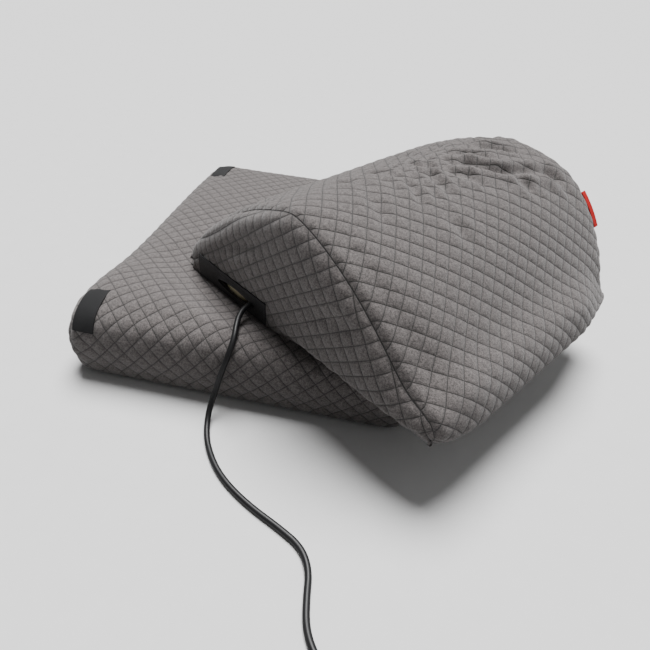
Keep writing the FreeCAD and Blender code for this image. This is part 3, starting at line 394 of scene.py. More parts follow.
def pad_places(across, along, shrink=0.0):
    """Where the pad's cloth lies: wrapped over all four edges, and mitred at the corners."""
    past_x, past_y, depth, share = past_edges(across, along)
    turn = np.where(past_x >= past_y, share, 2 - share) * math.pi / 4
    reach, height = pad_reach(depth)
    level = height / PAD_TOP
    rear = step_up(along, PAD_CENTRE_Y, PAD_CENTRE_Y + 10 * MM)
    front = step_up(-along, PAD_CENTRE_Y, PAD_CENTRE_Y + 10 * MM)
    full = 12 - 1.5 * front
    swell = full * MM * np.sin(math.pi * np.clip(level, 0, 1) ** (1.35 - 0.5 * front)) * (1 - 0.97 * rear)
    ear = 6 * MM * np.sin(2 * turn) ** 2 * np.sin(math.pi * np.clip(level, 0, 1) ** 0.8)
    reach = reach + (swell + ear) * step_up(depth, 4 * MM, 22 * MM) - shrink * step_up(depth, 0, 8 * MM)
    over_edge = past_x + past_y > 0
    x = np.sign(across) * (np.minimum(np.abs(across), PAD_CENTRE_X) + reach * np.cos(turn) * over_edge)
    y = np.sign(along) * (np.minimum(np.abs(along), PAD_CENTRE_Y) + reach * np.sin(turn) * over_edge)
    only_x, only_y = (past_y == 0) & (past_x > 0), (past_x == 0) & (past_y > 0)
    x = np.where(only_y, across, x)
    y = np.where(only_x, along, y)
    z = level * (pad_height(x, y) - shrink) + shrink * 0.5
    return np.stack([x + PAD_MIDDLE[0], y + PAD_MIDDLE[1], z], axis=1)


def pad_cloth(across, along, x_side):
    """Cloth positions, with the arc length round the corners in place of the mitred sheet's own."""
    past_x, past_y, depth, share = past_edges(across, along)
    reach, _ = pad_reach(depth)
    arc = np.maximum(reach, 0) * share * math.pi / 4
    side_x = np.where(x_side, depth, arc)
    side_y = np.where(x_side, arc, depth)
    corner = (past_x > 0) & (past_y > 0)
    cloth_x = np.where(corner, np.sign(across) * (PAD_CENTRE_X + side_x), across)
    cloth_y = np.where(corner, np.sign(along) * (PAD_CENTRE_Y + side_y), along)
    return np.stack([cloth_x, cloth_y], axis=1)


def pad_sheet(step, shrink=0.0):
    """The pad's cloth as one wrapped grid, with its open edge turned under and lying flat."""
    half_columns = round((PAD_CENTRE_X + PAD_WRAP) / step)
    half_rows = round((PAD_CENTRE_Y + PAD_WRAP) / step)
    piece, across, along = cloth_grid(2 * half_columns, 2 * half_rows)
    across = (across - 0.5) * 2 * half_columns * step
    along = (along - 0.5) * 2 * half_rows * step
    set_points(piece, pad_places(across, along, shrink))
    return piece, across, along


def close_under(piece):
    """Fills the open edge, which lies flat."""
    def select_edge():
        bpy.ops.mesh.select_all(action="DESELECT")
        bpy.ops.mesh.select_non_manifold(extend=False)

    edit(piece, select_edge, lambda: bpy.ops.mesh.edge_face_add())


def build_pad(quilt, plain, wadding, foam):
    form, *_ = pad_sheet(9 * MM, shrink=3.5 * MM)
    close_under(form)
    inflate(form, cap=5 * MM)
    piece, across, along = pad_sheet(CLOTH_STEP)
    index = corners_of(piece)
    faces = np.empty(len(piece.data.polygons), np.int32)
    piece.data.polygons.foreach_get("loop_total", faces)
    owner = np.repeat(np.arange(len(faces)), faces)
    past_x, past_y, *_ = past_edges(across[index], along[index])
    lean = np.bincount(owner, weights=past_x - past_y)[owner]
    corner_cloth = waver(pad_cloth(across[index], along[index], lean >= 0), 1.0)
    lay_pattern(piece, corner_cloth)
    flat = points_of(piece)
    drape(piece, form, 0.75 * step_up(flat[:, 2], 0.004, 0.02))
    bpy.data.objects.remove(form)
    cloth = waver(pad_cloth(across, along, past_x_side(across, along)), 1.0)
    rise = quilt_height(cloth) * step_up(flat[:, 2], 0.001, 0.008)
    seam, apart = corner_seam(across, along)
    mark_seams(piece, apart)
    points = points_of(piece) + normals_of(piece) * (rise * (1 - seam) - 1.6 * MM * seam)[:, None]
    points[:, 2] = np.maximum(points[:, 2], 1.2 * MM)
    set_points(piece, points)
    close_under(piece)
    cover = finish_piece(piece, "pad_quilted_cover", "base_pad", quilt, ["pad_cover_quilted"])
    for name, depth, node, finish, slot in (
        ("pad_wadding_layer", PAD_WADDING_DEPTH, "pad_wadding", wadding, "wadding"),
        ("pad_foam_block", PAD_FOAM_DEPTH, "pad_foam_core", foam, "foam"),
    ):
        inner, *_ = pad_sheet(6 * MM, shrink=depth)
        close_under(inner)
        finish_piece(inner, name, "base_pad", finish, [node])
    build_pad_base(plain)
    return tree_of(cover)


def build_pad_base(plain):
    """The plain cloth underneath, inside the quilted cover's turned-under edge."""
    piece, across, along = cloth_grid(74, 94)
    across, along = 2 * across - 1, 2 * along - 1
    round_x = np.sqrt(np.maximum(1 - 0.06 * along ** 16, 0))
    round_y = np.sqrt(np.maximum(1 - 0.06 * across ** 16, 0))
    x = PAD_MIDDLE[0] + across * round_x * (PAD_HALF_WIDTH - 17 * MM)
    y = PAD_MIDDLE[1] + along * round_y * (PAD_HALF_LENGTH - 17 * MM)
    inside = step_up(1 - np.maximum(np.abs(across), np.abs(along)), 0, 0.06)
    z = 0.35 * MM + inside * 0.25 * MM * (1 + np.sin(x * 47 + 1) * np.sin(y * 39))
    set_points(piece, np.stack([x, y, z], axis=1))
    modify(piece, "SOLIDIFY", thickness=0.5 * MM, offset=1)
    return finish_piece(piece, "pad_base_cloth", "base_pad", plain, ["pad_cover_base"])


def past_x_side(across, along):
    """Whether points lie further past the pad's side than past its end."""
    return (np.abs(across) - PAD_CENTRE_X) >= (np.abs(along) - PAD_CENTRE_Y)


def corner_seam(across, along):
    """1 on the mitre seam down each corner, 0 away from it, and the distance to it."""
    past_x = np.abs(across) - PAD_CENTRE_X
    past_y = np.abs(along) - PAD_CENTRE_Y
    deep = step_up(np.minimum(past_x, past_y), 22 * MM, 40 * MM)
    depth = np.maximum(np.maximum(past_x, past_y), 1 * MM)
    apart = np.abs(past_x - past_y) * (PAD_CORNER * math.pi / 4) / depth
    return deep * np.exp(-((apart / (3 * MM)) ** 2)), apart + (1 - deep) * 50 * MM


# ---------------------------------------------------------------- the arched cushion

def in_frame(span, length, height):
    """Points given in the arch's own directions, in the model's frame."""
    return ARCH_ORIGIN + np.outer(span, SPAN_WAY) + np.outer(length, LENGTH_WAY) + np.outer(height, UP)


def in_arch(points):
    """Points of the model's frame, in the arch's own directions."""
    offset = points - ARCH_ORIGIN
    return offset @ SPAN_WAY, offset @ LENGTH_WAY, offset[:, 2]


def arch_outline():
    """The arch's section as evenly spaced points, from under one foot over the top to under the other."""
    span = np.linspace(-HALF_SPAN, HALF_SPAN, 431)
    flank = np.sqrt(FLANK_RADIUS ** 2 - (np.abs(span) + FLANK_SIDE) ** 2) - FLANK_DROP
    top = np.stack([span, np.maximum(flank, 0)], axis=1)
    tuck = np.linspace(HALF_SPAN - ARCH_FOOT_TURN, HALF_SPAN, 17)[:-1]
    left = np.stack([-tuck, np.zeros(len(tuck))], axis=1)
    right = np.stack([tuck[::-1], np.zeros(len(tuck))], axis=1)
    chain = np.concatenate([left, top, right])
    run = np.concatenate([[0], np.cumsum(np.linalg.norm(np.diff(chain, axis=0), axis=1))])
    even = np.linspace(0, run[-1], round(run[-1] / OUTLINE_STEP) + 1)
    chain = np.stack([np.interp(even, run, chain[:, k]) for k in (0, 1)], axis=1)
    for _ in range(FOOT_SOFTNESS):
        chain[1:-1] = (chain[:-2] + 2 * chain[1:-1] + chain[2:]) / 4
    return chain, even[-1]


OUTLINE, OUTLINE_LENGTH = arch_outline()


def arch_section(share):
    """Span, height and outward direction at a share of the way along the section."""
    at = np.clip(share, 0, 1) * (len(OUTLINE) - 1)
    knots = np.arange(len(OUTLINE))
    span, height = (np.interp(at, knots, OUTLINE[:, k]) for k in (0, 1))
    ahead, behind = np.minimum(at + 4, knots[-1]), np.maximum(at - 4, 0)
    along = np.stack([np.interp(ahead, knots, OUTLINE[:, k]) for k in (0, 1)])
    along -= np.stack([np.interp(behind, knots, OUTLINE[:, k]) for k in (0, 1)])
    along /= np.linalg.norm(along, axis=0)
    return span, height, -along[1], along[0]


def arch_swell(share, length):
    """How far the filled cover stands off the plain section: slack at the front left, full at the rear."""
    rear = step_up(length, -HALF_ARCH, HALF_ARCH)
    right = bell(share, 0.66, 0.15)
    left = bell(share, 0.27, 0.16)
    top = bell(share, 0.5, 0.1)
    return MM * (right * (2 + 18 * rear) + left * (5 * rear - 2) + top * (2.5 - 7 * rear))


def foot_swell(share, length):
    """The right foot sags out along the front and middle, and draws in at the rear corner."""
    out = 17 - 24 * step_up(length, 70 * MM, HALF_ARCH)
    return MM * out * bell(share, 0.93, 0.05)


SHOULDER = 13 * MM
SEAM_TUCK = 5 * MM
SEAM_SET_BACK = 13 * MM


def seam_tuck(length, share):
    """How far the cover pulls in towards its end seams: gently and deeper over the front right."""
    front = length < 0
    easing = np.where(front, step_up(share, 0.48, 0.82), 0.45 * step_up(share, 0.75, 0.93))
    edge = np.clip((HALF_ARCH - np.abs(length)) / (SHOULDER + 58 * MM * easing), 0, 1)
    return (SEAM_TUCK + 14 * MM * easing) * (1 - np.sqrt(1 - (1 - edge) ** 2))


def seam_set_back(share):
    """How far back the front seam runs down the left flank, where the end panel wraps round."""
    return SEAM_SET_BACK * step_up(share, 0.02, 0.12) * (1 - step_up(share, 0.3, 0.46))


def arch_places(share, length, shrink=0.0):
    span, height, out_span, out_up = arch_section(share)
    tuck, sag = seam_tuck(length, share), foot_swell(share, length)
    above, at_foot = step_up(height, 0.0, 0.012), step_up(height, 0.0, 0.005)
    stand = arch_swell(share, length) * step_up(height, 0.0, 0.03) - tuck * above + sag * at_foot - shrink
    under = np.sign(share - 0.5) * (sag * (1 - at_foot) - tuck * (1 - above))
    level = np.maximum(height + out_up * stand, shrink * 0.5)
    return in_frame(span + out_span * stand + under, length, level)


# Creases in the cover, as chains of (span, length) in the arch's own plan, with depth and width in mm
CREASES = [
    ([(4, 104), (22, 131), (48, 152)], 5, 7),
    ([(0, 20), (34, 63), (58, 80), (81, 135), (106, 172)], 5.5, 7.5),
    ([(-16, -6), (10, 10), (26, 30)], 4, 6),
    ([(60, 86), (84, 92), (106, 99)], 3, 7),
    ([(14, -36), (38, -50), (60, -66)], 3, 6),
    ([(3, -2), (34, -10), (68, -15)], 3.5, 6),
    ([(70, -43), (92, -42), (116, -40)], 1.8, 8),
    ([(-8, 60), (14, 84), (44, 104)], 4, 6),
    ([(20, 12), (48, 34), (76, 44)], 3, 7),
    ([(-22, 120), (-6, 140), (10, 168)], 3.5, 7),
    ([(66, 150), (96, 150), (128, 160)], 3, 8),
    ([(-34, -60), (-12, -48), (4, -44)], 3, 6),
    ([(-40, -110), (-20, -96), (2, -92)], 2.5, 7),
    ([(10, -96), (34, -108), (62, -122)], 2, 8),
    ([(-30, 40), (-60, 52), (-92, 56)], 2.5, 7),
    ([(-26, 96), (-58, 112), (-88, 118)], 2.5, 7),
]
CREASE_SCALE = 1.25


def crease_depth(span, length):
    """How far the creases draw the cover in, with the cloth they push up on each side."""
    total = np.zeros(len(span))
    for chain, depth, width in CREASES:
        chain = np.array(chain) * MM
        width = width * MM
        nearest = np.full(len(span), 1.0)
        fade = np.zeros(len(span))
        runs = np.linalg.norm(np.diff(chain, axis=0), axis=1)
        before = np.concatenate([[0], np.cumsum(runs)])
        for start, end, run, gone in zip(chain[:-1], chain[1:], runs, before):
            way = (end - start) / run
            offset = np.stack([span, length], axis=1) - start
            along = np.clip(offset @ way, 0, run)
            away = np.linalg.norm(offset - np.outer(along, way), axis=1)
            closer = away < nearest
            nearest = np.where(closer, away, nearest)
            whole = (gone + along) / before[-1]
            fade = np.where(closer, np.sin(math.pi * np.clip(whole, 0.06, 0.94)), fade)
        total += CREASE_SCALE * depth * MM * fade * (
            np.exp(-((nearest / width) ** 2)) - 0.55 * np.exp(-(((nearest - 1.9 * width) / width) ** 2))
        )
    return total


def even_columns(step):
    """An even number of columns round the arch, so that one line runs along the ridge."""
    columns = round(OUTLINE_LENGTH / step)
    return columns + columns % 2


def arch_sheet(step, shrink=0.0):
    piece, across, along = cloth_grid(even_columns(step), 2 * round(HALF_ARCH / step))
    length = (along - 0.5) * 2 * HALF_ARCH
    near_front = 1 - step_up(length, -HALF_ARCH, -HALF_ARCH + 80 * MM)
    places = arch_places(across, length, shrink) + np.outer(seam_set_back(across) * near_front, LENGTH_WAY)
    set_points(piece, places)
    return piece, across, length


def build_arch_form():
    """The filling's outer shape, as a closed skin that is blown up under the cover."""
    form, *_ = arch_sheet(9 * MM, shrink=4 * MM)
    close_under(form)
    edit(form, lambda: bpy.ops.mesh.normals_make_consistent(inside=False))
    return inflate(form, cap=7 * MM)


def build_arch_cover(quilt, form):
    piece, share, length = arch_sheet(CLOTH_STEP)
    span, _, height = in_arch(points_of(piece))
    cloth = np.stack([(share - 0.5) * OUTLINE_LENGTH, length + 4.5 * MM], axis=1)
    cloth = waver(cloth, 2.3)
    lay_pattern(piece, cloth[corners_of(piece)])
    edge = HALF_ARCH - np.abs(length)
    mark_seams(piece, edge)
    drape(piece, form, 0.6 * step_up(edge, 4 * MM, 24 * MM) * step_up(height, 4 * MM, 25 * MM))
    rise = quilt_height(cloth) * step_up(height, 1 * MM, 8 * MM) * step_up(edge, 0, 4 * MM)
    gather = gathers(share, length)
    points = points_of(piece) + normals_of(piece) * (rise + gather - crease_depth(span, length))[:, None]
    points[:, 2] = np.maximum(points[:, 2], ARCH_BASE + 0.4 * MM)
    set_points(piece, points)
    modify(piece, "SOLIDIFY", thickness=COVER_WALL, offset=-1)
    cover = finish_piece(
        piece, "arch_quilted_cover", "arch_cushion", quilt, ["arch_cover_quilted"]
    )
    return cover


def gathers(share, length):
    """Small puckers along the ridge, where the cover is eased onto the filling."""
    ridge = bell(share, 0.5, 0.09) * step_up(length, -0.16, 0.02)
    ripple = np.sin(length * 260 + 9 * np.sin(length * 23) + share * 34)
    cross = np.sin(share * 150 + 5 * np.sin(length * 31))
    return 1.1 * MM * ridge * (ripple + 0.6 * cross * step_up(length, 0, 0.12))


def panel_bulge(height, top, foot, by_facing):
    """How far an end panel stands out between its seam and its foot."""
    below_seam = np.maximum(top - height, 0)
    from_seam = 1 - np.exp(-below_seam / (10 * MM))
    from_foot = np.maximum(step_up(height, *foot), by_facing)
    return 11 * MM * from_seam * from_foot * step_up(top, 6 * MM, 40 * MM)


PANEL_START = 0.031


def near_facing(span):
    """1 along the slot's facing, 0 past its right end."""
    return 1 - step_up(span, -30 * MM, 40 * MM)


def panel_sheet(end):
    """An end panel: columns from the base up to the seam, under the cover's own edge points."""
    piece, across, rise = cloth_grid(even_columns(CLOTH_STEP), PANEL_ROWS)
    across = PANEL_START + across * (1 - 2 * PANEL_START)
    seam = arch_places(across, np.full(len(across), end * HALF_ARCH))
    span, _, top = in_arch(seam)
    height = rise * top
    by_facing = near_facing(span) if end < 0 else 0
    bulge = panel_bulge(height, top, (-2 * MM, 14 * MM) if end < 0 else (30 * MM, 70 * MM), by_facing)
    hump = np.zeros(len(span))
    if end < 0:
        down, back = top - height, seam_set_back(across)
        bulge = bulge + front_folds(span, height) * step_up(down, 2 * MM, 20 * MM)
        bulge = bulge - back * np.exp(-down / (9 * MM))
        hump = 0.4 * back * bell(down, 9 * MM, 8 * MM) * step_up(down, 0, 3 * MM)
    _, _, out_span, out_up = arch_section(across)
    points = in_frame(span + hump * out_span, end * (HALF_ARCH + bulge), height + hump * out_up)
    set_points(piece, points)
    if end > 0:
        edit(piece, lambda: bpy.ops.mesh.flip_normals())
    return piece, span, height, top


def front_folds(span, height):
    """Soft dents in the front panel: one across its upper left, one over the slot."""
    return MM * (
        -4.5 * bell(height - 0.55 * (span + 0.165), 0.034, 0.009) * bell(span, -0.075, 0.04)
        + 2.5 * bell(height, 0.062, 0.02) * bell(span, -0.06, 0.06)
        - 3 * bell(height - 0.2 * span, 0.055, 0.012) * bell(span, 0.08, 0.05)
        + 2 * bell(span, 0.13, 0.03) * bell(height, 0.03, 0.02)
    )


def slot_half_gap(span, spare=0.0):
    """Half the slot's opening at a place along it: widest in its middle, closed at its ends."""
    share = np.clip(np.abs(span - SLOT_MIDDLE) / (SLOT_LENGTH / 2 + spare), 0, 1)
    return (SLOT_GAP / 2 + spare) * (1 - share ** 2) ** 0.8


def build_panel(quilt, end, name, node):
    piece, span, height, top = panel_sheet(end)
    lean = math.radians(PANEL_LEAN)
    turned = [
        span * math.cos(lean) + height * math.sin(lean),
        height * math.cos(lean) - span * math.sin(lean),
    ]
    cloth = waver(np.stack(turned, axis=1), 4.1 + end)
    lay_pattern(piece, cloth[corners_of(piece)])
    steep = np.clip(1.15 - np.abs(span) / HALF_SPAN * 0.65, 0.5, 1)
    at_tip = 4 * MM * (1 - step_up(np.minimum(span + HALF_SPAN, HALF_SPAN - span), 6 * MM, 22 * MM))
    mark_seams(piece, np.minimum((top - height) * steep, height + 0.6 * MM) + at_tip)
    rise = quilt_height(cloth) * step_up(top - height, 0, 5 * MM) * step_up(height, 0, 5 * MM)
    if end > 0:
        by_zip = (1 - step_up(np.abs(span), 146 * MM, 154 * MM)) * (1 - step_up(height, 32 * MM, 38 * MM))
        rise = rise * (1 - by_zip) - 0.4 * MM * by_zip
    set_points(piece, points_of(piece) + normals_of(piece) * rise[:, None])
    tree = tree_of(piece)
    if end < 0:
        cut_slot(piece)
    modify(piece, "SOLIDIFY", thickness=COVER_WALL, offset=-1)
    panel = finish_piece(piece, name, "arch_cushion", quilt, [node])
    return panel, tree


def cut_slot(piece):
    """Removes the cloth behind the slot's facing, leaving the facing's lips over the opening."""
    cloth = bmesh.new()
    cloth.from_mesh(piece.data)
    gone = []
    for face in cloth.faces:
        span, _, height = in_arch(np.array([face.calc_center_median()]))
        if abs(height[0] - SLOT_LEVEL) < slot_half_gap(span, 2.5 * MM)[0]:
            gone.append(face)
    bmesh.ops.delete(cloth, geom=gone, context="FACES")
    cloth.to_mesh(piece.data)
    cloth.free()


def thicken_tape(piece, edge_round):
    """Gives a sewn-on strip its thickness and eased edges."""
    modify(piece, "SOLIDIFY", thickness=TAPE_WALL, offset=-1)
    modify(
        piece, "BEVEL", width=edge_round, segments=2, limit_method="ANGLE", angle_limit=math.radians(50)
    )


def build_facing(leather, tree):
    """The slot's facing: two lips that part round the slot, on the front panel."""
    piece, across, rise = cloth_grid(92, 24)
    span = FACING_MIDDLE + (across - 0.5) * FACING_LENGTH
    gap = slot_half_gap(span)
    low_share = np.clip(rise * 2, 0, 1)
    high_share = np.clip(rise * 2 - 1, 0, 1)
    lower = FACING_LOW + low_share * (SLOT_LEVEL - gap - FACING_LOW)
    upper = SLOT_LEVEL + gap + high_share * (FACING_TOP - SLOT_LEVEL - gap)
    height = np.where(rise <= 0.5, lower, upper)
    lip = 1.6 * MM * bell(np.abs(height - SLOT_LEVEL) - gap, 0, 2.5 * MM) * (gap > 0.5 * MM)
    out = np.repeat(-LENGTH_WAY[None, :], len(span), axis=0)
    plan = np.stack([span, height], axis=1)
    starts = in_frame(span, np.full(len(span), -HALF_ARCH), height)
    points = lay_on(tree, starts, out, plan, 5 * MM, 1.7 * MM)
    set_points(piece, points - np.outer(lip, LENGTH_WAY))
    open_seam(piece, rise, gap)
    thicken_tape(piece, 0.5 * MM)
    lay_plan(piece)
    return finish_piece(
        piece, "cable_slot_leather", "arch_cushion", leather, ["cable_slot_facing"], 40
    )


CLOSED_GAP = 0.05 * MM


def open_seam(piece, rise, gap):
    """Parts the lips: the grid's middle row belongs to the lower lip, so its upper copy is made here."""
    cloth = bmesh.new()
    cloth.from_mesh(piece.data)
    cloth.verts.ensure_lookup_table()
    middle = np.abs(rise - 0.5) < 1e-4
    parted = middle & (gap > CLOSED_GAP)
    along_slot = []
    for edge in cloth.edges:
        ends = [vert.index for vert in edge.verts]
        if all(middle[ends]) and any(parted[ends]):
            along_slot.append(edge)
    bmesh.ops.split_edges(cloth, edges=along_slot)
    cloth.faces.ensure_lookup_table()
    for face in cloth.faces:
        centre = face.calc_center_median()
        _, _, level = in_arch(np.array([centre]))
        if level[0] > SLOT_LEVEL:
            for vert in face.verts:
                span, _, height = in_arch(np.array([vert.co]))
                half = slot_half_gap(span)[0]
                if half > CLOSED_GAP and abs(height[0] - (SLOT_LEVEL - half)) < 0.3 * MM:
                    vert.co = vert.co + Vector((0, 0, 2 * half))
    cloth.to_mesh(piece.data)
    cloth.free()


def lay_plan(piece):
    """A UV map with span and height in metres, for a flat piece on the front panel."""
    span, _, height = in_arch(points_of(piece))
    write_uv(piece, "plan", np.stack([span, height], axis=1)[corners_of(piece)])


def build_slot_foam(foam):
    """The foam core's edge, where it shows in the left of the slot behind the facing."""
    clear()
    bpy.ops.mesh.primitive_uv_sphere_add(segments=48, ring_count=24, radius=1)
    piece = bpy.context.object
    ball = points_of(piece)
    ripple = 1 + 0.05 * np.sin(7 * ball[:, 0] + 2) * np.sin(5 * ball[:, 2])
    span = SLOT_MIDDLE - 4 * MM + ball[:, 0] * 25 * MM
    length = -HALF_ARCH - 3.5 * MM + ball[:, 1] * 7 * MM * ripple
    height = SLOT_LEVEL - 4 * MM + ball[:, 2] * 11 * MM * ripple
    set_points(piece, in_frame(span, length, height))
    return finish_piece(piece, "foam_core_edge", "arch_cushion", foam)


def build_arch_wadding(wadding):
    """The soft layer between the cover and the heater, a closed skin well under the cover."""
    piece, *_ = arch_sheet(6 * MM, shrink=9 * MM)
    modify(piece, "SMOOTH", factor=0.5, iterations=6)
    modify(piece, "SOLIDIFY", thickness=2 * MM, offset=-1)
    layer = finish_piece(piece, "arch_wadding_layer", "arch_cushion", wadding, ["arch_wadding"])


def build_arch_core(foam):
    """The foam core, as cut for the box and the leads, with its edges eased in under the soft cover."""
    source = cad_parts["arch_foam_core"]
    piece = bpy.data.objects.new("arch_foam_block", source.data.copy())
    bpy.context.scene.collection.objects.link(piece)
    span, length, height = in_arch(points_of(piece))
    low = 1 - step_up(height, 20 * MM, 70 * MM)
    span = span - np.sign(span) * 17 * MM * low * step_up(np.abs(span), 150 * MM, 205 * MM)
    length = length - np.sign(length) * 8 * MM * step_up(np.abs(length), 172 * MM, 186 * MM)
    set_points(piece, in_frame(span, length, height))
    finish_piece(piece, "arch_foam_block", "arch_cushion", foam, ["arch_foam_core"])


def build_arch_base(plain):
    """The plain cloth under the arch, inside the cover's turned-under edges."""
    piece, across, along = cloth_grid(80, 76)
    span = (2 * across - 1) * (HALF_SPAN - ARCH_FOOT_TURN - 6 * MM)
    length = (2 * along - 1) * (HALF_ARCH - 3 * MM)
    at_front = 1 - step_up(length, -HALF_ARCH, -HALF_ARCH + 60 * MM)
    length = length - 11 * MM * (near_facing(span) * at_front)
    height = 0.9 * MM + 0.2 * MM * np.sin(span * 61) * np.sin(length * 43)
    set_points(piece, in_frame(span, length, height))
    modify(piece, "SOLIDIFY", thickness=1.6 * MM, offset=1)
    return finish_piece(piece, "arch_base_cloth", "arch_cushion", plain, ["arch_cover_base"])


PATCH_WIDTH = 27 * MM
PATCH_LENGTH = 50 * MM
PATCH_INSET = 10 * MM
PATCH_SWING = 84


def build_patches(tape, tree):
    """Four hook tape patches, one wrapped over the pad's edge beside each corner."""
    patches = []
    for side in (-1, 1):
        for end in (-1, 1):
            piece, across, along = cloth_grid(16, 34)
            x = side * (PAD_HALF_WIDTH - PATCH_INSET - PATCH_WIDTH * (across if side > 0 else 1 - across))
            x = x + PAD_MIDDLE[0]
            angle = np.radians((112 if end < 0 else 150) - PATCH_SWING * along)
            out = np.stack([0 * x, end * np.cos(angle), np.sin(angle)], axis=1)
            heart_y = PAD_MIDDLE[1] + end * (PAD_HALF_LENGTH - 30 * MM)
            heart = np.stack([x, heart_y + 0 * x, 0 * x + 48 * MM], axis=1)
            plan = np.stack([x, along * PATCH_LENGTH], axis=1)
            set_points(piece, lay_on(tree, heart + out * 0.03, out, plan, 5 * MM, 1.5 * MM))
            if face_way(piece, out) < 0:
                edit(piece, lambda: bpy.ops.mesh.flip_normals())
            thicken_tape(piece, 0.4 * MM)
            patches.append(piece)
    pick(patches[0])
    for piece in patches:
        piece.select_set(True)
    bpy.ops.object.join()
    return finish_piece(
        patches[0], "pad_hook_tape_patches", "base_pad", tape, ["pad_hook_patches"], 40
    )


def face_way(piece, out):
    """Positive where a sheet's faces point the way its points should face."""
    return float((normals_of(piece) * out).sum())


TAB_START = 0.715
TAB_SHARE = 0.08
TAB_REACH = 9 * MM
TAB_HALF_GAP = 1 * MM
TAB_FOLD = 0.08


def build_tab(red):
    """The blank side tab, a folded ribbon that stands out of the rear seam."""
    piece, along, rise = cloth_grid(30, 16)
    share = TAB_START + TAB_SHARE * along
    span, _, height = in_arch(arch_places(share, np.full(len(share), HALF_ARCH)))
    _, _, out_span, out_up = arch_section(share)
    leg = 0.5 - TAB_FOLD
    reach = TAB_REACH * np.minimum(np.minimum(rise, 1 - rise) / leg, 1)
    reach = reach + TAB_HALF_GAP * np.sin(math.pi * np.clip((rise - leg) / (2 * TAB_FOLD), 0, 1))
    stand = TAB_HALF_GAP * np.clip((0.5 - rise) / TAB_FOLD, -1, 1) + 2.5 * MM
    length = HALF_ARCH - 1 * MM + reach
    set_points(piece, in_frame(span + out_span * stand, length, height + out_up * stand))
    modify(piece, "SOLIDIFY", thickness=0.7 * MM, offset=0)
    return finish_piece(piece, "side_tab_ribbon", "arch_cushion", red, ["side_tab"], 40)


# ---------------------------------------------------------------- cords

def spline(name, route, diameter=None):
    """A smooth line drawn by the route's points, with a round section if it has a diameter."""
    curve = bpy.data.curves.new(name, "CURVE")
    curve.dimensions = "3D"
    curve.resolution_u = 10
    line = curve.splines.new("NURBS")
    line.points.add(len(route) - 1)
    for point, place in zip(line.points, route):
        point.co = (*place, 1.0)
    line.order_u = 3
    line.use_endpoint_u = True
    if diameter:
        curve.bevel_depth = diameter / 2
        curve.bevel_resolution = 6
        curve.use_fill_caps = True
    piece = bpy.data.objects.new(name, curve)
    bpy.context.scene.collection.objects.link(piece)
    return piece


def line_of(piece):
    """The points that a spline with no section passes through."""
    mesh = bpy.data.meshes.new_from_object(piece)
    points = [tuple(v.co) for v in mesh.vertices]
    bpy.data.meshes.remove(mesh)
    return points


def build_heater_lead(rubber):
    """The lead from the cushion to the controller, a tube along a fixed route."""
    bare = spline("lead_line", LEAD_ROUTE)
    path = line_of(bare)
    bpy.data.objects.remove(bare)
    lead = spline("heater_lead_cord", LEAD_ROUTE, CORD)
    pick(lead)
    bpy.ops.object.convert(target="MESH")
    lead.data.materials.clear()
    lead.data.materials.append(rubber)
    smooth_shade(lead, 50)
    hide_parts("heater_lead")
    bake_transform(lead)
    return lead


def coil_radius(turn):
    """Each turn keeps its ring for three quarters and then crosses to the next: inwards, then outwards."""
    rings = COIL_RINGS if turn < 3 else COIL_RINGS[::-1]
    run = turn % 3
    here = math.floor(run)
    crossing = max(0.0, (run - here - 0.75) / 0.25)
    return rings[here] * (1 - crossing) + rings[min(here + 1, 2)] * crossing


def coil_route():
    """Three turns inwards on the surface, then two and a half outwards on top of them, clockwise."""
    route = []
    for number in range(round(COIL_TURNS * COIL_TURN_POINTS) + 1):
        turn = number / COIL_TURN_POINTS
        lift = min(1.0, max(0.0, (turn - 2.8) / 0.3))
        level = COIL_LEVELS[0] * (1 - lift) + COIL_LEVELS[1] * lift
        angle = math.pi / 2 - 2 * math.pi * turn
        wide = coil_radius(turn) / math.cos(math.pi / COIL_TURN_POINTS)
        x, y = COIL_MIDDLE[0] + wide * math.cos(angle), COIL_MIDDLE[1] + wide * math.sin(angle)
        route.append((x, y, level))
    return route


def build_mains_cord(rubber):
    """The supply cord, from the controller through its stored coil to the plug."""
    cord = spline("mains_cord", FEED_ROUTE + coil_route() + TAIL_ROUTE, CORD)
    cord.data.materials.append(rubber)
    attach(cord, "base_pad")
    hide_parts("mains_cord_feed", "mains_cord_coil", "mains_cord_tail")
    return cord


# ---------------------------------------------------------------- finishes

class Wire:
    """A node's output, which Python's own operators can work on."""

    def __init__(self, finish, socket):
        self.finish, self.socket = finish, socket

    def math(self, operation, *others):
        return self.finish.node("ShaderNodeMath", {"operation": operation}, self, *others)

    def __add__(self, other):
        return self.math("ADD", other)

    __radd__ = __add__

    def __mul__(self, other):
        return self.math("MULTIPLY", other)

    __rmul__ = __mul__

    def __sub__(self, other):
        return self.math("SUBTRACT", other)

    def __rsub__(self, other):
        return self.finish.node("ShaderNodeMath", {"operation": "SUBTRACT"}, other, self)

    def __truediv__(self, other):
        return self.math("DIVIDE", other)

    def __abs__(self):
        return self.math("ABSOLUTE")

    def __mod__(self, other):
        return self.math("FLOORED_MODULO", other)

    def least(self, other):
        return self.math("MINIMUM", other)

    def most(self, other):
        return self.math("MAXIMUM", other)

    def below(self, low, high):
        """1 under low, 0 over high, smooth between."""
        return self.finish.node(
            "ShaderNodeMapRange", {"interpolation_type": "SMOOTHSTEP"}, self, low, high, 1.0, 0.0
        )


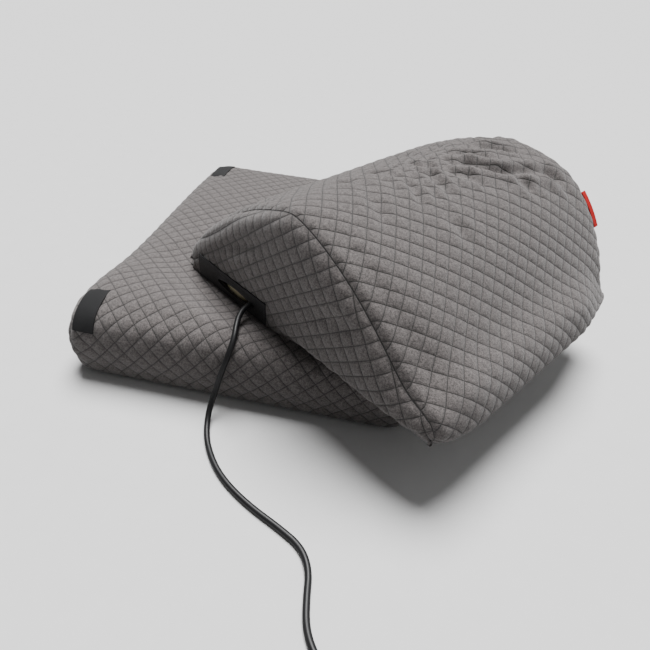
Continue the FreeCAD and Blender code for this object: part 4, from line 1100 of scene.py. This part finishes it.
class Finish:
    """A procedural material: a Principled shader and the nodes that feed it."""

    def __init__(self, name, **fixed):
        self.material = bpy.data.materials.new(name)
        self.material.use_nodes = True
        self.tree = self.material.node_tree
        self.shader = next(n for n in self.tree.nodes if n.type == "BSDF_PRINCIPLED")
        for label, value in fixed.items():
            self.shader.inputs[label.replace("_", " ")].default_value = value

    def node(self, kind, settings, *sockets, out=0, **named):
        made = self.tree.nodes.new(kind)
        for name, value in settings.items():
            setattr(made, name, value)
        for key, value in [*enumerate(sockets), *((k.replace("_", " "), v) for k, v in named.items())]:
            if isinstance(value, Wire):
                self.tree.links.new(value.socket, made.inputs[key])
            elif value is not None:
                made.inputs[key].default_value = value
        return Wire(self, made.outputs[out])

    def place(self):
        return self.node("ShaderNodeTexCoord", {}, out="Object")

    def uv(self, name):
        return self.node("ShaderNodeUVMap", {"uv_map": name})

    def split(self, vector):
        first = self.node("ShaderNodeSeparateXYZ", {}, vector)
        outputs = first.socket.node.outputs
        return [Wire(self, outputs[k]) for k in range(3)]

    def noise(self, vector, scale, detail=2.0, roughness=0.5):
        return self.node(
            "ShaderNodeTexNoise", {}, Vector=vector, Scale=scale, Detail=detail, Roughness=roughness
        )

    def mix(self, share, first, second):
        """One colour into another."""
        mixed = self.node("ShaderNodeMix", {"data_type": "RGBA"}, out=2)
        for key, value in ((0, share), (6, first), (7, second)):
            if isinstance(value, Wire):
                self.tree.links.new(value.socket, mixed.socket.node.inputs[key])
            elif isinstance(value, float):
                mixed.socket.node.inputs[key].default_value = value
            else:
                mixed.socket.node.inputs[key].default_value = (*value, 1.0)
        return mixed

    def bump(self, height, strength=1.0):
        """Heights are in metres."""
        self.feed("Normal", self.node("ShaderNodeBump", {}, Strength=strength, Distance=1.0, Height=height))

    def feed(self, label, wire):
        self.tree.links.new(wire.socket, self.shader.inputs[label])


def quilt_finish():
    """Grey flecked jersey, quilted: painted shade darkens the stitch creases, the valleys beside them and
    the seams.
    """
    finish = Finish("quilted_jersey", Roughness=0.93, Sheen_Weight=0.25, Sheen_Roughness=0.6)
    first, second, _ = finish.split(finish.uv("cloth"))
    to_first = abs(((first + 0.5) % 1.0) - 0.5) * (STITCH_GAP / MM)
    to_second = abs(((second + 0.5) % 1.0) - 0.5) * (STITCH_GAP / MM)
    line = to_first.least(to_second)
    crease = line.below(0.15, 0.65)
    valley = line.below(0.4, 2.6)
    edge = finish.node("ShaderNodeAttribute", {"attribute_name": "edge"}, out=2)
    seam = edge.below(0.2, 0.7)
    place = finish.place()
    fleck = finish.noise(place, 900.0, 2.0, 0.6)
    heather = finish.noise(place, 380.0, 3.0, 0.65)
    cloudy = finish.noise(place, 14.0, 2.0)
    fibre = (fleck * 0.55 + heather * 0.45 - 0.5) * 4.6 + 0.5
    fibre = fibre.least(1.0).most(0.0)
    cloth = finish.mix(fibre, (0.060, 0.052, 0.050), (0.220, 0.196, 0.190))
    shaded = finish.mix(cloudy * 0.3, cloth, (0.115, 0.104, 0.101))
    # Painted shade: the cloth colour darkens in the quilting valleys, within a few mm of each stitch line.
    painted_valley_shade = finish.mix(valley * 0.25, shaded, (0.05, 0.044, 0.042))
    # Painted shade: near black in the stitch creases and along the seams, where the cloth pulls in.
    painted_crease_seam_shade = finish.mix((crease * 0.85).most(seam * 0.9), painted_valley_shade, (0.018, 0.016, 0.015))
    finish.feed("Base Color", painted_crease_seam_shade)
    finish.bump(fibre * (0.16 * MM) - crease * (0.4 * MM) - valley * (0.3 * MM) - seam * (0.6 * MM))
    return finish.material


def leather_finish():
    """Black grained facing material."""
    finish = Finish("black_facing", Specular_IOR_Level=0.45)
    place = finish.place()
    cells = finish.node("ShaderNodeTexVoronoi", {"feature": "DISTANCE_TO_EDGE"}, Vector=place, Scale=900.0)
    tone = finish.noise(place, 60.0, 3.0)
    span, height, _ = finish.split(finish.uv("plan"))
    half_height = (FACING_TOP - FACING_LOW) / 2
    from_ends = abs(span - FACING_MIDDLE) * -1.0 + FACING_LENGTH / 2
    from_sides = abs(height - (FACING_LOW + half_height)) * -1.0 + half_height
    border = abs(from_ends.least(from_sides) - 3.2 * MM) * (1 / MM)
    thread = border.below(0.25, 0.6)
    black = finish.mix(tone, (0.010, 0.010, 0.011), (0.028, 0.028, 0.030))
    finish.feed("Base Color", finish.mix(thread, black, (0.045, 0.045, 0.047)))
    finish.feed("Roughness", tone * 0.2 + 0.42)
    finish.bump(cells.least(0.12) * (0.9 * MM) - thread * (0.5 * MM))
    return finish.material


def rubber_finish():
    """Black cord jacket."""
    finish = Finish("cord_jacket", Specular_IOR_Level=0.4, Coat_Weight=0.08, Coat_Roughness=0.3)
    place = finish.place()
    grain = finish.noise(place, 700.0, 2.0)
    scuff = finish.noise(place, 45.0, 3.0)
    finish.feed("Base Color", finish.mix(scuff, (0.006, 0.006, 0.007), (0.016, 0.016, 0.017)))
    finish.feed("Roughness", scuff * 0.2 + 0.36)
    finish.bump(grain * (0.05 * MM))
    return finish.material


def plain_finish(
    name, dark, light, roughness=0.5, grain=300.0, relief=0.05, metallic=0.0, spread=0.2, **fixed
):
    """A moulded, woven or metal surface: two tones, uneven gloss and a fine grain."""
    finish = Finish(name, Metallic=metallic, **fixed)
    place = finish.place()
    fine = finish.noise(place, grain, 3.0)
    broad = finish.noise(place, 30.0, 3.0)
    finish.feed("Base Color", finish.mix(broad * 0.6 + fine * 0.4, dark, light))
    finish.feed("Roughness", broad * spread + (roughness - spread / 2))
    finish.bump(fine * (relief * MM))
    return finish.material


# ---------------------------------------------------------------- stage

def build_stage():
    """Pale floor, soft light from above and behind, and the camera."""
    clear()
    bpy.ops.mesh.primitive_plane_add(size=FLOOR_SIZE, location=(0, 0, 0))
    floor = bpy.context.object
    floor.name = "floor"
    pale = Finish("pale_floor", Roughness=0.9)
    speck = pale.noise(pale.place(), 40.0, 2.0)
    tone = pale.mix(speck, (0.88, 0.88, 0.88), (0.92, 0.92, 0.92))
    seen_straight = pale.node("ShaderNodeLightPath", {})
    pale.feed("Base Color", pale.mix(seen_straight, (0.45, 0.45, 0.45), tone))
    floor.data.materials.append(pale.material)
    world = bpy.data.worlds.new("studio")
    world.use_nodes = True
    sky = world.node_tree.nodes["Background"]
    seen = world.node_tree.nodes.new("ShaderNodeLightPath")
    strength = world.node_tree.nodes.new("ShaderNodeMapRange")
    strength.inputs["To Min"].default_value = SKY_LIGHT
    strength.inputs["To Max"].default_value = SKY_SEEN
    world.node_tree.links.new(seen.outputs["Is Camera Ray"], strength.inputs["Value"])
    world.node_tree.links.new(strength.outputs[0], sky.inputs[1])
    sky.inputs[0].default_value = (1.0, 1.0, 1.0, 1.0)
    bpy.context.scene.world = world
    for name, way, power, softness in (
        ("key", (-0.04, 0.38, 0.93), 6.0, 34),
        ("side", (0.8, 0.2, 0.6), 0.25, 60),
    ):
        light = bpy.data.lights.new(name, "SUN")
        light.energy, light.angle = power, math.radians(softness)
        lamp = bpy.data.objects.new(name, light)
        lamp.rotation_mode = "QUATERNION"
        lamp.rotation_quaternion = Vector(way).to_track_quat("Z", "Y")
        bpy.context.scene.collection.objects.link(lamp)
    build_camera()


def build_camera():
    """Placed by the way it looks: yaw to the left, pitch down, and a slight roll."""
    yaw, pitch, roll = CAMERA_YAW, CAMERA_PITCH, CAMERA_ROLL
    ahead = Vector((math.sin(yaw) * math.cos(pitch), math.cos(yaw) * math.cos(pitch), -math.sin(pitch)))
    level = Vector((math.cos(yaw), -math.sin(yaw), 0))
    upright = level.cross(ahead)
    right = level * math.cos(roll) + upright * math.sin(roll)
    upward = upright * math.cos(roll) - level * math.sin(roll)
    lens = bpy.data.cameras.new("camera")
    lens.sensor_width = CAMERA_SENSOR
    lens.lens = CAMERA_LENS
    camera = bpy.data.objects.new("camera", lens)
    turn = Matrix((right, upward, -ahead)).transposed().to_4x4()
    camera.matrix_world = Matrix.Translation(CAMERA_PLACE) @ turn
    bpy.context.scene.collection.objects.link(camera)
    bpy.context.scene.camera = camera


# ---------------------------------------------------------------- the whole object

build_stage()
RUBBER = rubber_finish()
build_heater_lead(RUBBER)
build_mains_cord(RUBBER)

QUILT = quilt_finish()
LEATHER = leather_finish()
FOAM = plain_finish("cream_foam", (0.62, 0.55, 0.36), (0.75, 0.69, 0.47), 0.9, 500.0, 0.4)
WADDING = plain_finish("white_wadding", (0.70, 0.70, 0.68), (0.85, 0.85, 0.83), 0.95, 250.0, 0.8)
PLAIN_CLOTH = plain_finish("plain_base_cloth", (0.09, 0.085, 0.082), (0.20, 0.19, 0.185), 0.9, 900.0, 0.25)
HOOK_TAPE = plain_finish("hook_tape_black", (0.004, 0.004, 0.005), (0.016, 0.016, 0.017), 0.8, 1500.0, 0.6)
RED = plain_finish("red_ribbon", (0.5, 0.0, 0.0), (0.62, 0.003, 0.002), 0.7, 1200.0, 0.15)
BLACK = plain_finish("black_moulding", (0.010, 0.010, 0.011), (0.020, 0.020, 0.021), 0.5, 900.0, 0.06)

PAD_TREE = build_pad(QUILT, PLAIN_CLOTH, WADDING, FOAM)
build_patches(HOOK_TAPE, PAD_TREE)
ARCH_FORM = build_arch_form()
build_arch_cover(QUILT, ARCH_FORM)
bpy.data.objects.remove(ARCH_FORM)
_, FRONT_TREE = build_panel(QUILT, -1, "arch_front_panel", "arch_end_front")
build_panel(QUILT, 1, "arch_rear_panel", "arch_end_rear")
build_arch_wadding(WADDING)
build_arch_core(FOAM)
build_arch_base(PLAIN_CLOTH)
build_facing(LEATHER, FRONT_TREE)
build_slot_foam(FOAM)
build_tab(RED)

CAD_FINISHES = {
    WADDING: ["pad_wadding", "arch_wadding"],
    FOAM: ["pad_foam_core", "arch_foam_core"],
    HOOK_TAPE: ["pad_hook_patches"],
    plain_finish("zip_tape_grey", (0.03, 0.03, 0.031), (0.06, 0.058, 0.056), 0.85, 1400.0, 0.3): [
        "pad_zip_tape", "arch_zip_tape"],
    plain_finish("zip_metal_dark", (0.09, 0.09, 0.092), (0.2, 0.2, 0.205), 0.32, 500.0, 0.03, 0.9): [
        "pad_zip_slider", "pad_zip_pull", "arch_zip_slider", "arch_zip_pull"],
    plain_finish("heating_film_dark", (0.012, 0.012, 0.014), (0.04, 0.03, 0.025), 0.35, 260.0, 0.05): [
        "heating_film"],
    plain_finish("copper_strip", (0.62, 0.25, 0.12), (0.85, 0.42, 0.24), 0.3, 400.0, 0.03, 1.0): [
        "bus_bars"],
    plain_finish("crinkled_foil", (0.6, 0.6, 0.6), (0.9, 0.9, 0.88), 0.25, 90.0, 0.5, 1.0): [
        "reflector_foil"],
    plain_finish("pressed_felt", (0.35, 0.34, 0.32), (0.55, 0.53, 0.5), 0.95, 420.0, 0.5): [
        "felt_insulation"],
    plain_finish("grey_box_plastic", (0.1, 0.1, 0.1), (0.16, 0.16, 0.16), 0.5, 800.0, 0.05): [
        "junction_box_base", "junction_box_lid", "selector_switch"],
    plain_finish("terminal_cream", (0.55, 0.5, 0.4), (0.7, 0.66, 0.55), 0.45, 500.0, 0.03): [
        "terminal_block", "overheat_cutout", "thermal_fuse"],
    plain_finish("red_wire_jacket", (0.4, 0.01, 0.01), (0.6, 0.03, 0.02), 0.4, 600.0, 0.03): [
        "film_leads", "sensor_lead"],
    plain_finish("blue_wire_jacket", (0.01, 0.06, 0.3), (0.02, 0.12, 0.45), 0.4, 600.0, 0.03): [
        "cord_cores"],
    plain_finish("bright_steel", (0.4, 0.4, 0.4), (0.62, 0.62, 0.62), 0.3, 500.0, 0.03, 1.0): [
        "junction_box_screws", "controller_screws"],
    plain_finish("circuit_board_green", (0.01, 0.08, 0.03), (0.02, 0.16, 0.06), 0.4, 300.0, 0.05): [
        "control_board"],
    plain_finish("knob_grey", (0.28, 0.28, 0.28), (0.4, 0.4, 0.4), 0.45, 900.0, 0.06): ["slide_knob"],
    plain_finish("amber_lens", (0.5, 0.1, 0.01), (0.75, 0.22, 0.03), 0.12, 200.0, 0.01, Coat_Weight=0.6): [
        "indicator_lens"],
    plain_finish("brass_pins", (0.6, 0.43, 0.16), (0.8, 0.62, 0.3), 0.28, 400.0, 0.02, 1.0): ["plug_pins"],
    plain_finish("tie_velvet_black", (0.008, 0.008, 0.009), (0.022, 0.022, 0.023), 0.9, 1300.0, 0.4): [
        "cord_tie"],
    RUBBER: [
        "cord_sleeve", "cord_entry", "heater_lead",
        "mains_cord_feed", "mains_cord_coil", "mains_cord_tail"],
}
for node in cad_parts.values():
    node.data.materials.clear()
    node.data.materials.append(BLACK)
for finish, labels in CAD_FINISHES.items():
    for label in labels:
        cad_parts[label].data.materials[0] = finish
